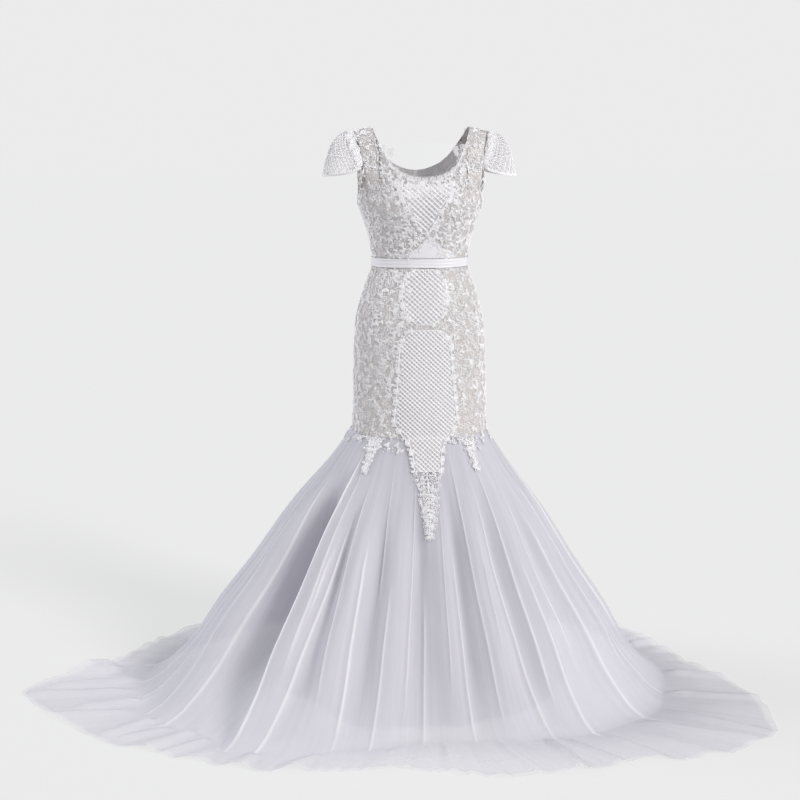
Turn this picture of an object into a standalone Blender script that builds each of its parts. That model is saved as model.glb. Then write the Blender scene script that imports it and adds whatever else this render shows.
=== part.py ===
"""A fitted lace gown with cap sleeves, a ribbon at the waist and a spread skirt of net over satin.

The gown is hollow and keeps the form that it has when worn. Heights in the tables are above the floor,
widths and depths are from the upright line through the middle of the figure, and angles go round that
line from the middle of the front towards the wearer's left (+X). The front faces -Y. The origin is
midway between the two shoulder seams, where the gown is held.
"""

import bisect
import math

import bmesh
import bpy
import numpy as np
from mathutils import Vector

SHOULDER_HEIGHT = 1.474
WAIST_HEIGHT = 1.137
KNEE_HEIGHT = 0.700
BUST_HEIGHT = 1.285
ARMPIT_HEIGHT = 1.309
CLOTH = 0.0015
NET = 0.0010
SEAM_GAP = 0.0003
# Where two walls lean towards each other their inner faces stand further apart
WAIST_SEAM = 0.0009
KNEE_SEAM = 0.0018
SEAM_ANGLE = 0.09
OVERLAY_GAP = 0.0008
SIDE_ANGLE = 90.0


def table(names, *rows):
    """A table's rows as one list for each named column."""
    return dict(zip(names.split(), np.array(rows, float).T))


def smooth(rows, key, name, at):
    """The value in column name at a place in column key, on a smooth curve through the rows."""
    places = rows[key]
    values = rows[name]
    slopes = np.gradient(values, places)
    row = int(np.clip(np.searchsorted(places, at) - 1, 0, len(places) - 2))
    gap = places[row + 1] - places[row]
    t = min(max((at - places[row]) / gap, 0.0), 1.0)
    rise = t * t * (3 - 2 * t)
    leave = t * (1 - t) ** 2 * gap * slopes[row]
    arrive = t * t * (t - 1) * gap * slopes[row + 1]
    return float(values[row] + rise * (values[row + 1] - values[row]) + leave + arrive)


def straight(rows, key, name, at):
    """The value in column name at a place in column key, on straight lines between the rows."""
    return float(np.interp(at, rows[key], rows[name]))


def ease(share):
    """A soft step from 0 to 1."""
    share = min(max(share, 0.0), 1.0)
    return share * share * (3 - 2 * share)


# The fitted body, from the knee up to the armpit
BODY = table(
    "height half_width front back",
    (0.700, 0.1740, 0.150, 0.140),
    (0.750, 0.1720, 0.145, 0.134),
    (0.800, 0.1710, 0.140, 0.130),
    (0.870, 0.1690, 0.132, 0.129),
    (0.940, 0.1660, 0.126, 0.128),
    (1.000, 0.1600, 0.117, 0.125),
    (1.035, 0.1510, 0.108, 0.118),
    (1.070, 0.1400, 0.099, 0.106),
    (1.110, 0.1255, 0.091, 0.091),
    (1.137, 0.1200, 0.088, 0.085),
    (1.175, 0.1235, 0.093, 0.086),
    (1.215, 0.1325, 0.101, 0.091),
    (1.250, 0.1440, 0.108, 0.096),
    (1.285, 0.1560, 0.112, 0.100),
    (1.309, 0.1545, 0.109, 0.099),
)
# The line of the shoulders, at which the front and the back meet
RIDGE = table(
    "across height",
    (0.000, 1.520),
    (0.080, 1.492),
    (0.124, 1.474),
    (0.172, 1.463),
    (0.200, 1.452),
)
SQUARENESS = 2.3
ARM_WIDENING = 0.050
ARM_WIDENING_RISE = 0.050
CUP_FULLNESS = 0.014
CUP_ANGLE = 35.0
CUP_SPREAD = 29.0
CUP_HEIGHT = 1.288
CUP_RISE = 0.062


def with_cups(x, y, height):
    """A point of the body moved out where the bust cups are full, in the gown's own frame."""
    angle = math.degrees(math.atan2(x, -y))
    swell = 0.0
    for side in (-1, 1):
        away = (angle - side * CUP_ANGLE) / CUP_SPREAD
        above = (height - CUP_HEIGHT) / CUP_RISE
        swell += CUP_FULLNESS * math.exp(-away * away - above * above)
    scale = 1 + swell / math.hypot(x, y)
    return Vector((x * scale, y * scale, height - SHOULDER_HEIGHT))


def ring_radius(angle, height, back):
    """How far the body lies from the middle line, on a squarish oval section."""
    half_width = smooth(BODY, "height", "half_width", height)
    depth = smooth(BODY, "height", "back" if back else "front", height)
    across = abs(math.sin(math.radians(angle))) / half_width
    along = abs(math.cos(math.radians(angle))) / depth
    return (across**SQUARENESS + along**SQUARENESS) ** (-1 / SQUARENESS)


def body_point(angle, height):
    """The body below the bust, at an angle round the figure."""
    turn = math.radians(angle)
    radius = ring_radius(angle, height, math.cos(turn) < 0)
    return with_cups(radius * math.sin(turn), -radius * math.cos(turn), height)


def chest_depth(x, height, back):
    """How deep the body is in front of or behind the shoulder line, at a place across it."""
    half_width = smooth(BODY, "height", "half_width", height)
    half_width += ARM_WIDENING * ease((height - ARMPIT_HEIGHT) / ARM_WIDENING_RISE)
    depth = smooth(BODY, "height", "back" if back else "front", height)
    share = min(abs(x) / half_width, 1.0)
    section = (1 - share**SQUARENESS) ** (1 / SQUARENESS)
    lift = (height - BUST_HEIGHT) / (straight(RIDGE, "across", "height", abs(x)) - BUST_HEIGHT)
    lift = min(max(lift, 0.0), 1.0)
    return max(depth * section * math.sqrt(1 - lift * lift), SEAM_GAP / 2)


def chest_point(x, height, back=False):
    """The body at a place across it, as seen from the front or the back."""
    depth = chest_depth(x, height, back)
    return with_cups(x, depth if back else -depth, height)


# The top edge of the bodice: neckline, shoulder seam, armhole, by angle from the middle
TOP_FRONT = table(
    "angle half_width height",
    (0.0, 0.0000, 1.342),
    (9.0, 0.0200, 1.343),
    (18.0, 0.0400, 1.348),
    (27.0, 0.0620, 1.359),
    (34.0, 0.0800, 1.377),
    (40.0, 0.0940, 1.402),
    (44.0, 0.1090, 1.434),
    (48.0, 0.1240, 1.474),
    (64.0, 0.1720, 1.463),
    (68.0, 0.1600, 1.430),
    (73.0, 0.1510, 1.390),
    (79.0, 0.1490, 1.355),
    (85.0, 0.1515, 1.326),
    (90.0, 0.1545, 1.309),
)
TOP_BACK = table(
    "angle half_width height",
    (0.0, 0.0000, 1.365),
    (9.0, 0.0200, 1.367),
    (18.0, 0.0400, 1.373),
    (27.0, 0.0640, 1.385),
    (34.0, 0.0830, 1.402),
    (40.0, 0.0990, 1.425),
    (44.0, 0.1120, 1.446),
    (48.0, 0.1240, 1.474),
    (64.0, 0.1720, 1.463),
    (68.0, 0.1620, 1.430),
    (73.0, 0.1540, 1.390),
    (79.0, 0.1520, 1.355),
    (85.0, 0.1525, 1.326),
    (90.0, 0.1545, 1.309),
)
SHOULDER_INNER = 48.0
SHOULDER_OUTER = 64.0
ARMHOLE_JOINT = 75.0


def arch_point(angle, share, back):
    """The bodice above the bust: share 0 lies on the bust line and share 1 on the top edge."""
    edge = TOP_BACK if back else TOP_FRONT
    foot = ring_radius(angle, BUST_HEIGHT, back) * math.sin(math.radians(abs(angle)))
    top = straight(edge, "angle", "half_width", abs(angle))
    top_height = straight(edge, "angle", "height", abs(angle))
    ridge = straight(RIDGE, "across", "height", top)
    top_turn = math.asin(min((top_height - BUST_HEIGHT) / (ridge - BUST_HEIGHT), 1.0))
    x = foot + (top - foot) * share
    ridge = straight(RIDGE, "across", "height", x)
    height = BUST_HEIGHT + (ridge - BUST_HEIGHT) * math.sin(top_turn * share)
    side = -1 if (angle < 0) != back else 1
    return chest_point(side * x, height, back)


# Making the walls
def material(name, colour, roughness):
    """A plain cloth material for one piece."""
    made = bpy.data.materials.new(name)
    made.use_nodes = True
    shader = made.node_tree.nodes["Principled BSDF"]
    shader.inputs["Base Color"].default_value = (*colour, 1)
    shader.inputs["Roughness"].default_value = roughness
    shader.inputs["Metallic"].default_value = 0
    return made


LACE_WHITE = (0.84, 0.83, 0.84)
SATIN_WHITE = (0.80, 0.79, 0.81)
TULLE_WHITE = (0.70, 0.68, 0.73)
NET_WHITE = (0.78, 0.75, 0.72)
LACE_ROUGHNESS = 0.6
SATIN_ROUGHNESS = 0.35

gown = bpy.data.collections.new("mermaid_gown")


def add_piece(name, shape, colour, roughness):
    """Makes a mesh into a named piece of the gown."""
    data = bpy.data.meshes.new(name)
    shape.to_mesh(data)
    shape.free()
    data.materials.append(material(name, colour, roughness))
    piece = bpy.data.objects.new(name, data)
    gown.objects.link(piece)
    return piece


def panel(name, rows, thickness, colour, roughness):
    """A cloth panel: its inner face runs through rows of points, and Solidify makes its wall outwards."""
    shape = bmesh.new()
    lines = [[shape.verts.new(point) for point in row] for row in rows]
    for lower, upper in zip(lines, lines[1:]):
        for column in range(len(lower) - 1):
            shape.faces.new((lower[column], lower[column + 1], upper[column + 1], upper[column]))
    piece = add_piece(name, shape, colour, roughness)
    wall = piece.modifiers.new("wall", "SOLIDIFY")
    wall.thickness = thickness
    wall.offset = 1
    wall.use_even_offset = False
    return piece


def surface_normal(point, u, v, step):
    """Which way a surface faces, from points a small step apart on it."""
    across = point(u + step, v) - point(u - step, v)
    up = point(u, v + step) - point(u, v - step)
    return across.cross(up).normalized()


RELIEF_STEP = 0.001


def relief_piece(name, cells, point, lift, rise, thin, colour, roughness, step=RELIEF_STEP):
    """A wall with a plain inner face whose outer points stand higher at every other grid crossing.

    Each cell is four grid corners (column, row, u, v). The raised crossings join into diagonal ribs.
    """
    shape = bmesh.new()
    inner = {}
    outer = {}
    for corner in (corner for cell in cells for corner in cell):
        column, row, u, v = corner
        if (column, row) in inner:
            continue
        place = point(u, v)
        out = surface_normal(point, u, v, step)
        ribbed = (column + row) % 2 == 0
        inner[column, row] = shape.verts.new(place + out * lift)
        outer[column, row] = shape.verts.new(place + out * (lift + thin + (rise if ribbed else 0)))
    edges = {}
    for cell in cells:
        keys = [(column, row) for column, row, u, v in cell]
        first = 0 if sum(keys[0]) % 2 == 0 else 1
        ring = keys[first:] + keys[:first]
        for triangle in ((ring[0], ring[1], ring[2]), (ring[0], ring[2], ring[3])):
            shape.faces.new([outer[key] for key in triangle])
            shape.faces.new([inner[key] for key in reversed(triangle)])
        for start, end in zip(keys, keys[1:] + keys[:1]):
            edges[start, end] = True
    for start, end in edges:
        if (end, start) not in edges:
            shape.faces.new((inner[start], inner[end], outer[end], outer[start]))
    return add_piece(name, shape, colour, roughness)


def grid_cells(columns, rows, place):
    """Cells of a whole grid, with each crossing's place on the surface."""
    cells = []
    for row in range(rows):
        for column in range(columns):
            corners = ((column, row), (column + 1, row), (column + 1, row + 1), (column, row + 1))
            cells.append([(i, j, *place(i, j)) for i, j in corners])
    return cells


# Bodice: the front with its straps, and two backs on each side of the zip
BODICE_HEIGHTS = (WAIST_HEIGHT + WAIST_SEAM, 1.161, 1.185, 1.210, 1.235, 1.260)
ARCH_ROWS = 6
ZIP_ANGLE = 2.2
HALF_COLUMNS = (9, 18, 27, 34, 40, 44, 48, 56, 64, 68, 73, 79, 85, SIDE_ANGLE - SEAM_ANGLE)


def bodice_rows(angles, back):
    """Rows of points from the waist up to the top edge, at angles from the middle of one face."""
    turn = 180 if back else 0
    rows = [[body_point(turn + angle, height) for angle in angles] for height in BODICE_HEIGHTS]
    for row in range(ARCH_ROWS + 1):
        rows.append([arch_point(angle, row / ARCH_ROWS, back) for angle in angles])
    return rows


front_angles = [-angle for angle in reversed(HALF_COLUMNS)] + [0] + list(HALF_COLUMNS)
panel("bodice_front", bodice_rows(front_angles, False), CLOTH, LACE_WHITE, LACE_ROUGHNESS)
right_back = [ZIP_ANGLE + SEAM_ANGLE] + list(HALF_COLUMNS)
left_back = [-angle for angle in reversed(right_back)]
panel("bodice_back_left", bodice_rows(left_back, True), CLOTH, LACE_WHITE, LACE_ROUGHNESS)
panel("bodice_back_right", bodice_rows(right_back, True), CLOTH, LACE_WHITE, LACE_ROUGHNESS)

# Fitted skirt, from the waist to the knee
ZIP_END = 0.950
ZIP_STEP = 0.020
SKIRT_HEIGHTS = (
    KNEE_HEIGHT,
    0.757,
    0.815,
    0.873,
    ZIP_END - ZIP_STEP,
    ZIP_END,
    1.000,
    1.038,
    1.075,
    1.108,
    WAIST_HEIGHT,
)
SKIRT_STEP = 7.5


def back_edge(height):
    """The angle at which a back panel stops short of the middle, for the zip or for a plain seam."""
    return SEAM_ANGLE + (ZIP_ANGLE if height > ZIP_END - ZIP_STEP / 2 else 0)


def skirt_rows(first, last):
    """Rows of points from the knee up to the waist, between two edges given as functions of height."""
    rows = []
    for height in SKIRT_HEIGHTS:
        start = first(height)
        end = last(height)
        count = round((last(KNEE_HEIGHT) - first(KNEE_HEIGHT)) / SKIRT_STEP)
        rows.append([body_point(start + (end - start) * i / count, height) for i in range(count + 1)])
    return rows


def left_side(height):
    return SIDE_ANGLE + SEAM_ANGLE


def right_side(height):
    return 270 - SEAM_ANGLE


def front_right_side(height):
    return -SIDE_ANGLE + SEAM_ANGLE


def front_left_side(height):
    return SIDE_ANGLE - SEAM_ANGLE


def left_of_zip(height):
    return 180 - back_edge(height)


def right_of_zip(height):
    return 180 + back_edge(height)


panel("skirt_front", skirt_rows(front_right_side, front_left_side), CLOTH, LACE_WHITE, LACE_ROUGHNESS)
panel("skirt_back_left", skirt_rows(left_side, left_of_zip), CLOTH, LACE_WHITE, LACE_ROUGHNESS)
panel("skirt_back_right", skirt_rows(right_of_zip, right_side), CLOTH, LACE_WHITE, LACE_ROUGHNESS)

# Concealed zip, in the slot between the backs
zip_angles = (-ZIP_ANGLE, 0, ZIP_ANGLE)
zip_heights = [height for height in SKIRT_HEIGHTS if height > ZIP_END] + list(BODICE_HEIGHTS[1:])
zip_rows = [[body_point(180 + angle, height) for angle in zip_angles] for height in zip_heights]
for zip_row in range(ARCH_ROWS + 1):
    zip_rows.append([arch_point(angle, zip_row / ARCH_ROWS, True) for angle in zip_angles])
panel("back_zip", zip_rows, CLOTH, SATIN_WHITE, LACE_ROUGHNESS)

# Ribbon round the waist, over the waist seam and open at the middle of the back
BELT = table(
    "height out",
    (1.126, 0.0005),
    (1.133, 0.0012),
    (1.141, 0.0005),
    (1.149, 0.0014),
)
BELT_COLUMNS = 48
BELT_OUT = CLOTH + OVERLAY_GAP


def belt_point(share, row):
    """A point of the ribbon, whose fine creases lie at unlike distances out."""
    angle = -180 + SEAM_ANGLE + (360 - 2 * SEAM_ANGLE) * share
    height = BELT["height"][row]
    place = body_point(angle, height)
    out = BELT_OUT + BELT["out"][row]
    flat = Vector((place.x, place.y, 0)).normalized()
    return place + flat * out


belt_rows = []
for belt_row in range(len(BELT["height"])):
    belt_rows.append([belt_point(i / BELT_COLUMNS, belt_row) for i in range(BELT_COLUMNS + 1)])
panel("waist_belt", belt_rows, CLOTH, SATIN_WHITE, SATIN_ROUGHNESS)

# Sheer yoke between the straps, above the scoop of the neckline
YOKE_TOP = 1.432
YOKE_HALF_WIDTH = 0.1045
YOKE_COLUMNS = 16
YOKE_ROWS = 4
EDGE_GAP = 0.0008
NECKLINE = {name: column[TOP_FRONT["angle"] <= SHOULDER_INNER] for name, column in TOP_FRONT.items()}


def yoke_point(across, up):
    """A point of the yoke: across runs from -1 to 1, up from the neckline to the yoke's top."""
    x = YOKE_HALF_WIDTH * across
    foot = EDGE_GAP + float(np.interp(abs(x) + EDGE_GAP, NECKLINE["half_width"], NECKLINE["height"]))
    return chest_point(x, foot + (YOKE_TOP - foot) * up)


yoke_rows = []
for yoke_row in range(YOKE_ROWS + 1):
    across_places = [2 * i / YOKE_COLUMNS - 1 for i in range(YOKE_COLUMNS + 1)]
    yoke_rows.append([yoke_point(across, yoke_row / YOKE_ROWS) for across in across_places])
panel("neck_net", yoke_rows, NET, NET_WHITE, LACE_ROUGHNESS)

# Lace points that reach from the straps onto the yoke
NECK_POINT_TIP = 0.0740
NECK_POINT_ROOT = 0.0960
NECK_POINT_HEIGHT = 1.4120
NECK_POINT_HALF = 0.0120
NECK_POINT_NARROW = 0.0030
NECK_POINT_CELLS = 3


def neck_point_cells(side):
    """Cells of one lace point, which narrows towards the middle of the neck."""
    def place(column, row):
        along = column / NECK_POINT_CELLS
        if side > 0:
            along = 1 - along
        half = NECK_POINT_HALF + (NECK_POINT_NARROW - NECK_POINT_HALF) * along
        x = NECK_POINT_ROOT + (NECK_POINT_TIP - NECK_POINT_ROOT) * along
        return side * x, NECK_POINT_HEIGHT + half * (2 * row / NECK_POINT_CELLS - 1)
    return grid_cells(NECK_POINT_CELLS, NECK_POINT_CELLS, place)


LACE_THIN = 0.0010
LACE_RISE = 0.0012
for point_name, point_side in (("lace_neck_left", 1), ("lace_neck_right", -1)):
    relief_piece(
        point_name,
        neck_point_cells(point_side),
        chest_point,
        NET + OVERLAY_GAP,
        LACE_RISE,
        LACE_THIN,
        LACE_WHITE,
        LACE_ROUGHNESS,
    )

# Cap sleeves of lattice net, from the armhole out over the upper arm
SLEEVE_COLUMNS = 22
SLEEVE_ROWS = 12
SLEEVE_GAP = 0.0028
SLEEVE_CENTRE = 0.156
SLEEVE_REACH = 0.0885
SLEEVE_HALF_DEPTH = 0.076
SLEEVE_HEM_HEIGHT = 1.357
SLEEVE_HEM_RISE = 0.016
SLEEVE_CROWN_OUT = 0.017
SLEEVE_CROWN_RISE = 0.054
SLEEVE_CROWN_SPREAD = 0.12
SLEEVE_THIN = 0.0010
SLEEVE_RISE = 0.0012


def armhole_point(turn):
    """A point on the armhole edge: turn -90 is the front joint, 0 the shoulder and 90 the back joint."""
    back = turn > 0
    share = abs(turn) / SIDE_ANGLE
    angle = SHOULDER_OUTER + (ARMHOLE_JOINT - SHOULDER_OUTER) * share
    point = arch_point(angle, 1.0, back)
    return Vector((abs(point.x), point.y, point.z))


def sleeve_point(turn, out):
    """A point of the wearer's left sleeve: out runs from the armhole, 0, to the hem, 1."""
    root = armhole_point(turn)
    spread = math.cos(math.radians(turn))
    root = root + Vector((SLEEVE_GAP, 0, 0))
    hem = Vector((
        SLEEVE_CENTRE + SLEEVE_REACH * spread,
        SLEEVE_HALF_DEPTH * math.sin(math.radians(turn)),
        SLEEVE_HEM_HEIGHT + SLEEVE_HEM_RISE * (1 - spread) ** 2 - SHOULDER_HEIGHT,
    ))
    crown = root.lerp(hem, 0.5)
    crown.x += SLEEVE_CROWN_OUT * spread
    crown.z += SLEEVE_CROWN_RISE * spread
    crown.y *= 1 + SLEEVE_CROWN_SPREAD * spread
    return root.lerp(crown, out).lerp(crown.lerp(hem, out), out)


def right_sleeve_point(turn, out):
    point = sleeve_point(-turn, out)
    return Vector((-point.x, point.y, point.z))


SLEEVE_STEP = 0.01
SLEEVE_TURN = 89.9
for sleeve_name, sleeve_surface in (("sleeve_left", sleeve_point), ("sleeve_right", right_sleeve_point)):
    def faced(turn, up, surface=sleeve_surface):
        return surface(turn, 1 - up)

    def sleeve_place(column, row):
        return SLEEVE_TURN * (2 * column / SLEEVE_COLUMNS - 1), row / SLEEVE_ROWS

    relief_piece(
        sleeve_name,
        grid_cells(SLEEVE_COLUMNS, SLEEVE_ROWS, sleeve_place),
        faced,
        0.0,
        SLEEVE_RISE,
        SLEEVE_THIN,
        LACE_WHITE,
        LACE_ROUGHNESS,
        SLEEVE_STEP,
    )

# Net skirt: how far it has spread by the time that it has dropped a share of the knee's height
SPREAD = table(
    "drop reach",
    (0.000, 0.000),
    (0.120, 0.110),
    (0.260, 0.250),
    (0.515, 0.471),
    (0.687, 0.637),
    (0.864, 0.795),
    (0.928, 0.871),
    (0.978, 0.945),
    (1.000, 1.000),
)
# Where the net meets the floor and where its hem lies, by angle
HEM = table(
    "angle landing hem",
    (-180, 0.470, 0.800),
    (-150, 0.520, 0.760),
    (-125, 0.610, 0.760),
    (-108, 0.690, 0.830),
    (-98, 0.730, 0.900),
    (-91, 0.745, 1.050),
    (-84, 0.745, 1.010),
    (-69, 0.720, 0.874),
    (-52, 0.660, 0.730),
    (-44, 0.610, 0.690),
    (-32, 0.530, 0.621),
    (-12, 0.440, 0.552),
    (0, 0.420, 0.568),
    (14, 0.440, 0.620),
    (28, 0.490, 0.666),
    (39, 0.540, 0.720),
    (51, 0.600, 0.863),
    (61, 0.640, 0.950),
    (73, 0.660, 0.905),
    (88, 0.660, 0.780),
    (108, 0.620, 0.720),
    (130, 0.570, 0.730),
    (155, 0.500, 0.760),
    (180, 0.470, 0.800),
)
# The main folds: where each lies round the skirt, its width and how far it stands out or falls in
FOLDS = table(
    "angle width depth",
    (-168, 9, 0.020),
    (-150, 8, -0.026),
    (-134, 8, 0.024),
    (-118, 7, -0.022),
    (-104, 7, 0.016),
    (-88, 6, -0.012),
    (-75, 7, 0.014),
    (-61, 7, -0.080),
    (-50, 4, 0.030),
    (-43, 3, -0.014),
    (-37, 4, 0.018),
    (-28, 4, -0.014),
    (-19, 5, 0.008),
    (-8, 5, -0.012),
    (4, 5, 0.006),
    (14, 4, -0.012),
    (23, 5, 0.010),
    (33, 4, -0.014),
    (42, 5, 0.012),
    (52, 4, -0.012),
    (62, 6, 0.014),
    (74, 5, -0.014),
    (88, 7, 0.014),
    (103, 7, -0.020),
    (118, 8, 0.024),
    (135, 8, -0.026),
    (152, 8, 0.022),
    (168, 8, -0.018),
)
FOLD_START_DROP = 0.10
FOLD_FULL_DROP = 0.45
RUFFLE_LIFT = 0.010
RUFFLE_WAVES = 31
RUFFLE_DRIFT = 7
RUFFLE_SWAY = 2
LANDING_LIFT = 0.006
LANDING_DOWN = 0.98
FLOOR_CLEAR = 0.0002


def round_gap(angle, centre):
    """The signed angle from a centre, the short way round."""
    return (angle - centre + 180) % 360 - 180


def fold_offset(angle):
    """How far the folds move the net in or out at an angle, when they are full."""
    offset = 0.0
    for centre, width, depth in zip(FOLDS["angle"], FOLDS["width"], FOLDS["depth"]):
        away = round_gap(angle, centre) / width
        offset += depth * math.exp(-away * away)
    return offset


FOLD_FADE_DROP = 0.70
FOLD_FADE = 0.6


def fold_share(drop):
    """How full the folds are: they start below the knee and soften near the floor."""
    start = ease((drop - FOLD_START_DROP) / (FOLD_FULL_DROP - FOLD_START_DROP))
    return start * (1 - FOLD_FADE * ease((drop - FOLD_FADE_DROP) / (1 - FOLD_FADE_DROP)))


def around(angle):
    """An angle brought between -180 and 180, where the tables hold it."""
    return (angle + 180) % 360 - 180


def tulle_point(angle, down):
    """A point of the net skirt: down runs 0 to 1 from the knee to the floor, then to 2 at the hem."""
    turn = math.radians(angle)
    top = ring_radius(angle, KNEE_HEIGHT, math.cos(turn) < 0)
    landing = smooth(HEM, "angle", "landing", around(angle))
    hem = smooth(HEM, "angle", "hem", around(angle))
    drop = min(down, 1.0)
    reach = smooth(SPREAD, "drop", "reach", drop)
    radius = top + (landing - top) * reach
    radius += fold_offset(angle) * fold_share(drop)
    height = (KNEE_HEIGHT - KNEE_SEAM) * (1 - drop)
    floor_share = max(down - 1.0, 0.0)
    radius += (hem - radius) * floor_share
    wave = math.sin(turn * RUFFLE_WAVES + math.sin(turn * RUFFLE_DRIFT) * RUFFLE_SWAY)
    height += RUFFLE_LIFT * ease(floor_share) * max(wave, 0) + FLOOR_CLEAR
    height += LANDING_LIFT * ease(down / LANDING_DOWN) * (1 - floor_share)
    return Vector((radius * math.sin(turn), -radius * math.cos(turn), height - SHOULDER_HEIGHT))


TULLE_DOWN = (2.0, 1.5, 1.0, 0.95, 0.88, 0.78, 0.66, 0.54, 0.42, 0.31, 0.21, 0.12, 0.0)
TULLE_STEP = 4.0
TULLE_PANELS = table(
    "first last",
    (-53, 46),
    (46, 150),
    (150, 226),
    (226, 307),
)
TULLE_NAMES = ("tulle_front", "tulle_left", "tulle_back", "tulle_right")
TULLE_SEAM_ANGLE = 0.05


def tulle_angles(first, last):
    """The angles of a panel's columns, between two seams that are parted a little."""
    count = round((last - first) / TULLE_STEP)
    angles = [first + (last - first) * i / count for i in range(count + 1)]
    angles[0] += TULLE_SEAM_ANGLE
    angles[-1] -= TULLE_SEAM_ANGLE
    return angles


def tulle_rows(first, last):
    """Rows of points from the hem up to the knee."""
    return [[tulle_point(angle, down) for angle in tulle_angles(first, last)] for down in TULLE_DOWN]


for tulle_name, tulle_first, tulle_last in zip(TULLE_NAMES, TULLE_PANELS["first"], TULLE_PANELS["last"]):
    panel(tulle_name, tulle_rows(tulle_first, tulle_last), CLOTH, TULLE_WHITE, LACE_ROUGHNESS)

# Satin underskirt, hung just inside the head of the net
UNDER_FOOT = table(
    "angle radius",
    (-180, 0.400),
    (-120, 0.400),
    (-90, 0.400),
    (-61, 0.340),
    (-40, 0.370),
    (0, 0.350),
    (40, 0.370),
    (90, 0.400),
    (120, 0.400),
    (180, 0.400),
)
UNDER_TOP = 0.6972
UNDER_INSET = 0.0019
UNDER_FLUTES = 9
UNDER_FLUTE_DEPTH = 0.008
UNDER_COLUMNS = 40
UNDER_BELL = 0.15
UNDER_HEM_HEIGHT = 0.012
UNDER_DOWN = (1.0, 0.85, 0.68, 0.50, 0.32, 0.14, 0.0)


def under_point(angle, down):
    """A point of the underskirt, down from 0 at its head to 1 at its hem."""
    turn = math.radians(angle)
    top = ring_radius(angle, KNEE_HEIGHT, math.cos(turn) < 0) - UNDER_INSET
    foot = smooth(UNDER_FOOT, "angle", "radius", around(angle))
    radius = top + (foot - top) * down * (1 - UNDER_BELL + UNDER_BELL * down)
    radius += UNDER_FLUTE_DEPTH * ease(down) * math.sin(UNDER_FLUTES * turn)
    height = UNDER_TOP * (1 - down) + UNDER_HEM_HEIGHT * down
    return Vector((radius * math.sin(turn), -radius * math.cos(turn), height - SHOULDER_HEIGHT))


under_angles = [360 * i / UNDER_COLUMNS for i in range(UNDER_COLUMNS)]
under_shape = bmesh.new()
under_lines = [[under_shape.verts.new(under_point(a, d)) for a in under_angles] for d in UNDER_DOWN]
for under_lower, under_upper in zip(under_lines, under_lines[1:]):
    for i in range(UNDER_COLUMNS):
        j = (i + 1) % UNDER_COLUMNS
        under_shape.faces.new((under_lower[i], under_lower[j], under_upper[j], under_upper[i]))
underskirt = add_piece("underskirt", under_shape, SATIN_WHITE, SATIN_ROUGHNESS)
under_wall = underskirt.modifiers.new("wall", "SOLIDIFY")
under_wall.thickness = CLOTH
under_wall.offset = 1
under_wall.use_even_offset = False

# Lattice panels and lace tails on the front
BUST_LATTICE = table(
    "height half_width",
    (1.214, 0.006),
    (1.226, 0.014),
    (1.262, 0.033),
    (1.300, 0.052),
    (1.322, 0.062),
    (1.334, 0.062),
)
MEDALLION = table(
    "height half_width",
    (0.9860, 0.020),
    (0.9980, 0.038),
    (1.0180, 0.051),
    (1.0550, 0.057),
    (1.0900, 0.052),
    (1.1100, 0.040),
    (1.1220, 0.024),
)
SHIELD = table(
    "height half_width",
    (0.6220, 0.034),
    (0.6600, 0.036),
    (0.6900, 0.044),
    (0.7100, 0.062),
    (0.7400, 0.080),
    (0.7900, 0.074),
    (0.8600, 0.068),
    (0.9300, 0.064),
    (0.9600, 0.052),
    (0.9720, 0.036),
)
BUST_PITCH = 0.012
SHIELD_PITCH = 0.0135
LEAST_CELL = 0.3
ANGLE_TRIES = 6


def lattice_cells(outline, pitch):
    """Square cells inside an outline that is even on both sides, with the outer ones cut to it."""
    lowest = outline["height"][0]
    rows = round((outline["height"][-1] - lowest) / pitch)
    step = (outline["height"][-1] - lowest) / rows
    cells = []
    widths = [smooth(outline, "height", "half_width", lowest + row * step) for row in range(rows + 1)]
    most = int(max(widths) / pitch) + 1
    for row in range(rows):
        for column in range(-most, most):
            inside = min(abs(column), abs(column + 1)) * pitch
            if inside > min(widths[row], widths[row + 1]) - LEAST_CELL * pitch:
                continue
            cell = []
            for i, j in ((column, row), (column + 1, row), (column + 1, row + 1), (column, row + 1)):
                x = min(max(i * pitch, -widths[j]), widths[j])
                cell.append((i, j, x, lowest + j * step))
            cells.append(cell)
    return cells


front_tulle_angles = tulle_angles(TULLE_PANELS["first"][0], TULLE_PANELS["last"][0])


def on_front_tulle(angle, down):
    """A place on the front net panel as it is cut, between its own columns and rows of points."""
    column = min(max(bisect.bisect(front_tulle_angles, angle) - 1, 0), len(front_tulle_angles) - 2)
    start = front_tulle_angles[column]
    along = (angle - start) / (front_tulle_angles[column + 1] - start)
    row = max(i for i, place in enumerate(TULLE_DOWN[:-1]) if place >= down)
    low = TULLE_DOWN[row]
    up = (low - down) / (low - TULLE_DOWN[row + 1])
    lower = tulle_point(start, low).lerp(tulle_point(front_tulle_angles[column + 1], low), along)
    low = TULLE_DOWN[row + 1]
    upper = tulle_point(start, low).lerp(tulle_point(front_tulle_angles[column + 1], low), along)
    return lower.lerp(upper, up)


def tulle_front_point(x, height):
    """The front of the net skirt at a place across it and a height."""
    down = 1 - height / (KNEE_HEIGHT - KNEE_SEAM)
    angle = 0.0
    for _ in range(ANGLE_TRIES):
        radius = math.hypot(*tulle_point(angle, down).xy)
        angle = math.degrees(math.asin(x / radius))
    return on_front_tulle(angle, down)


def front_point(x, height):
    """The front of the gown at any height above the floor."""
    if height > KNEE_HEIGHT:
        return chest_point(x, height)
    return tulle_front_point(x, height)


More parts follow.
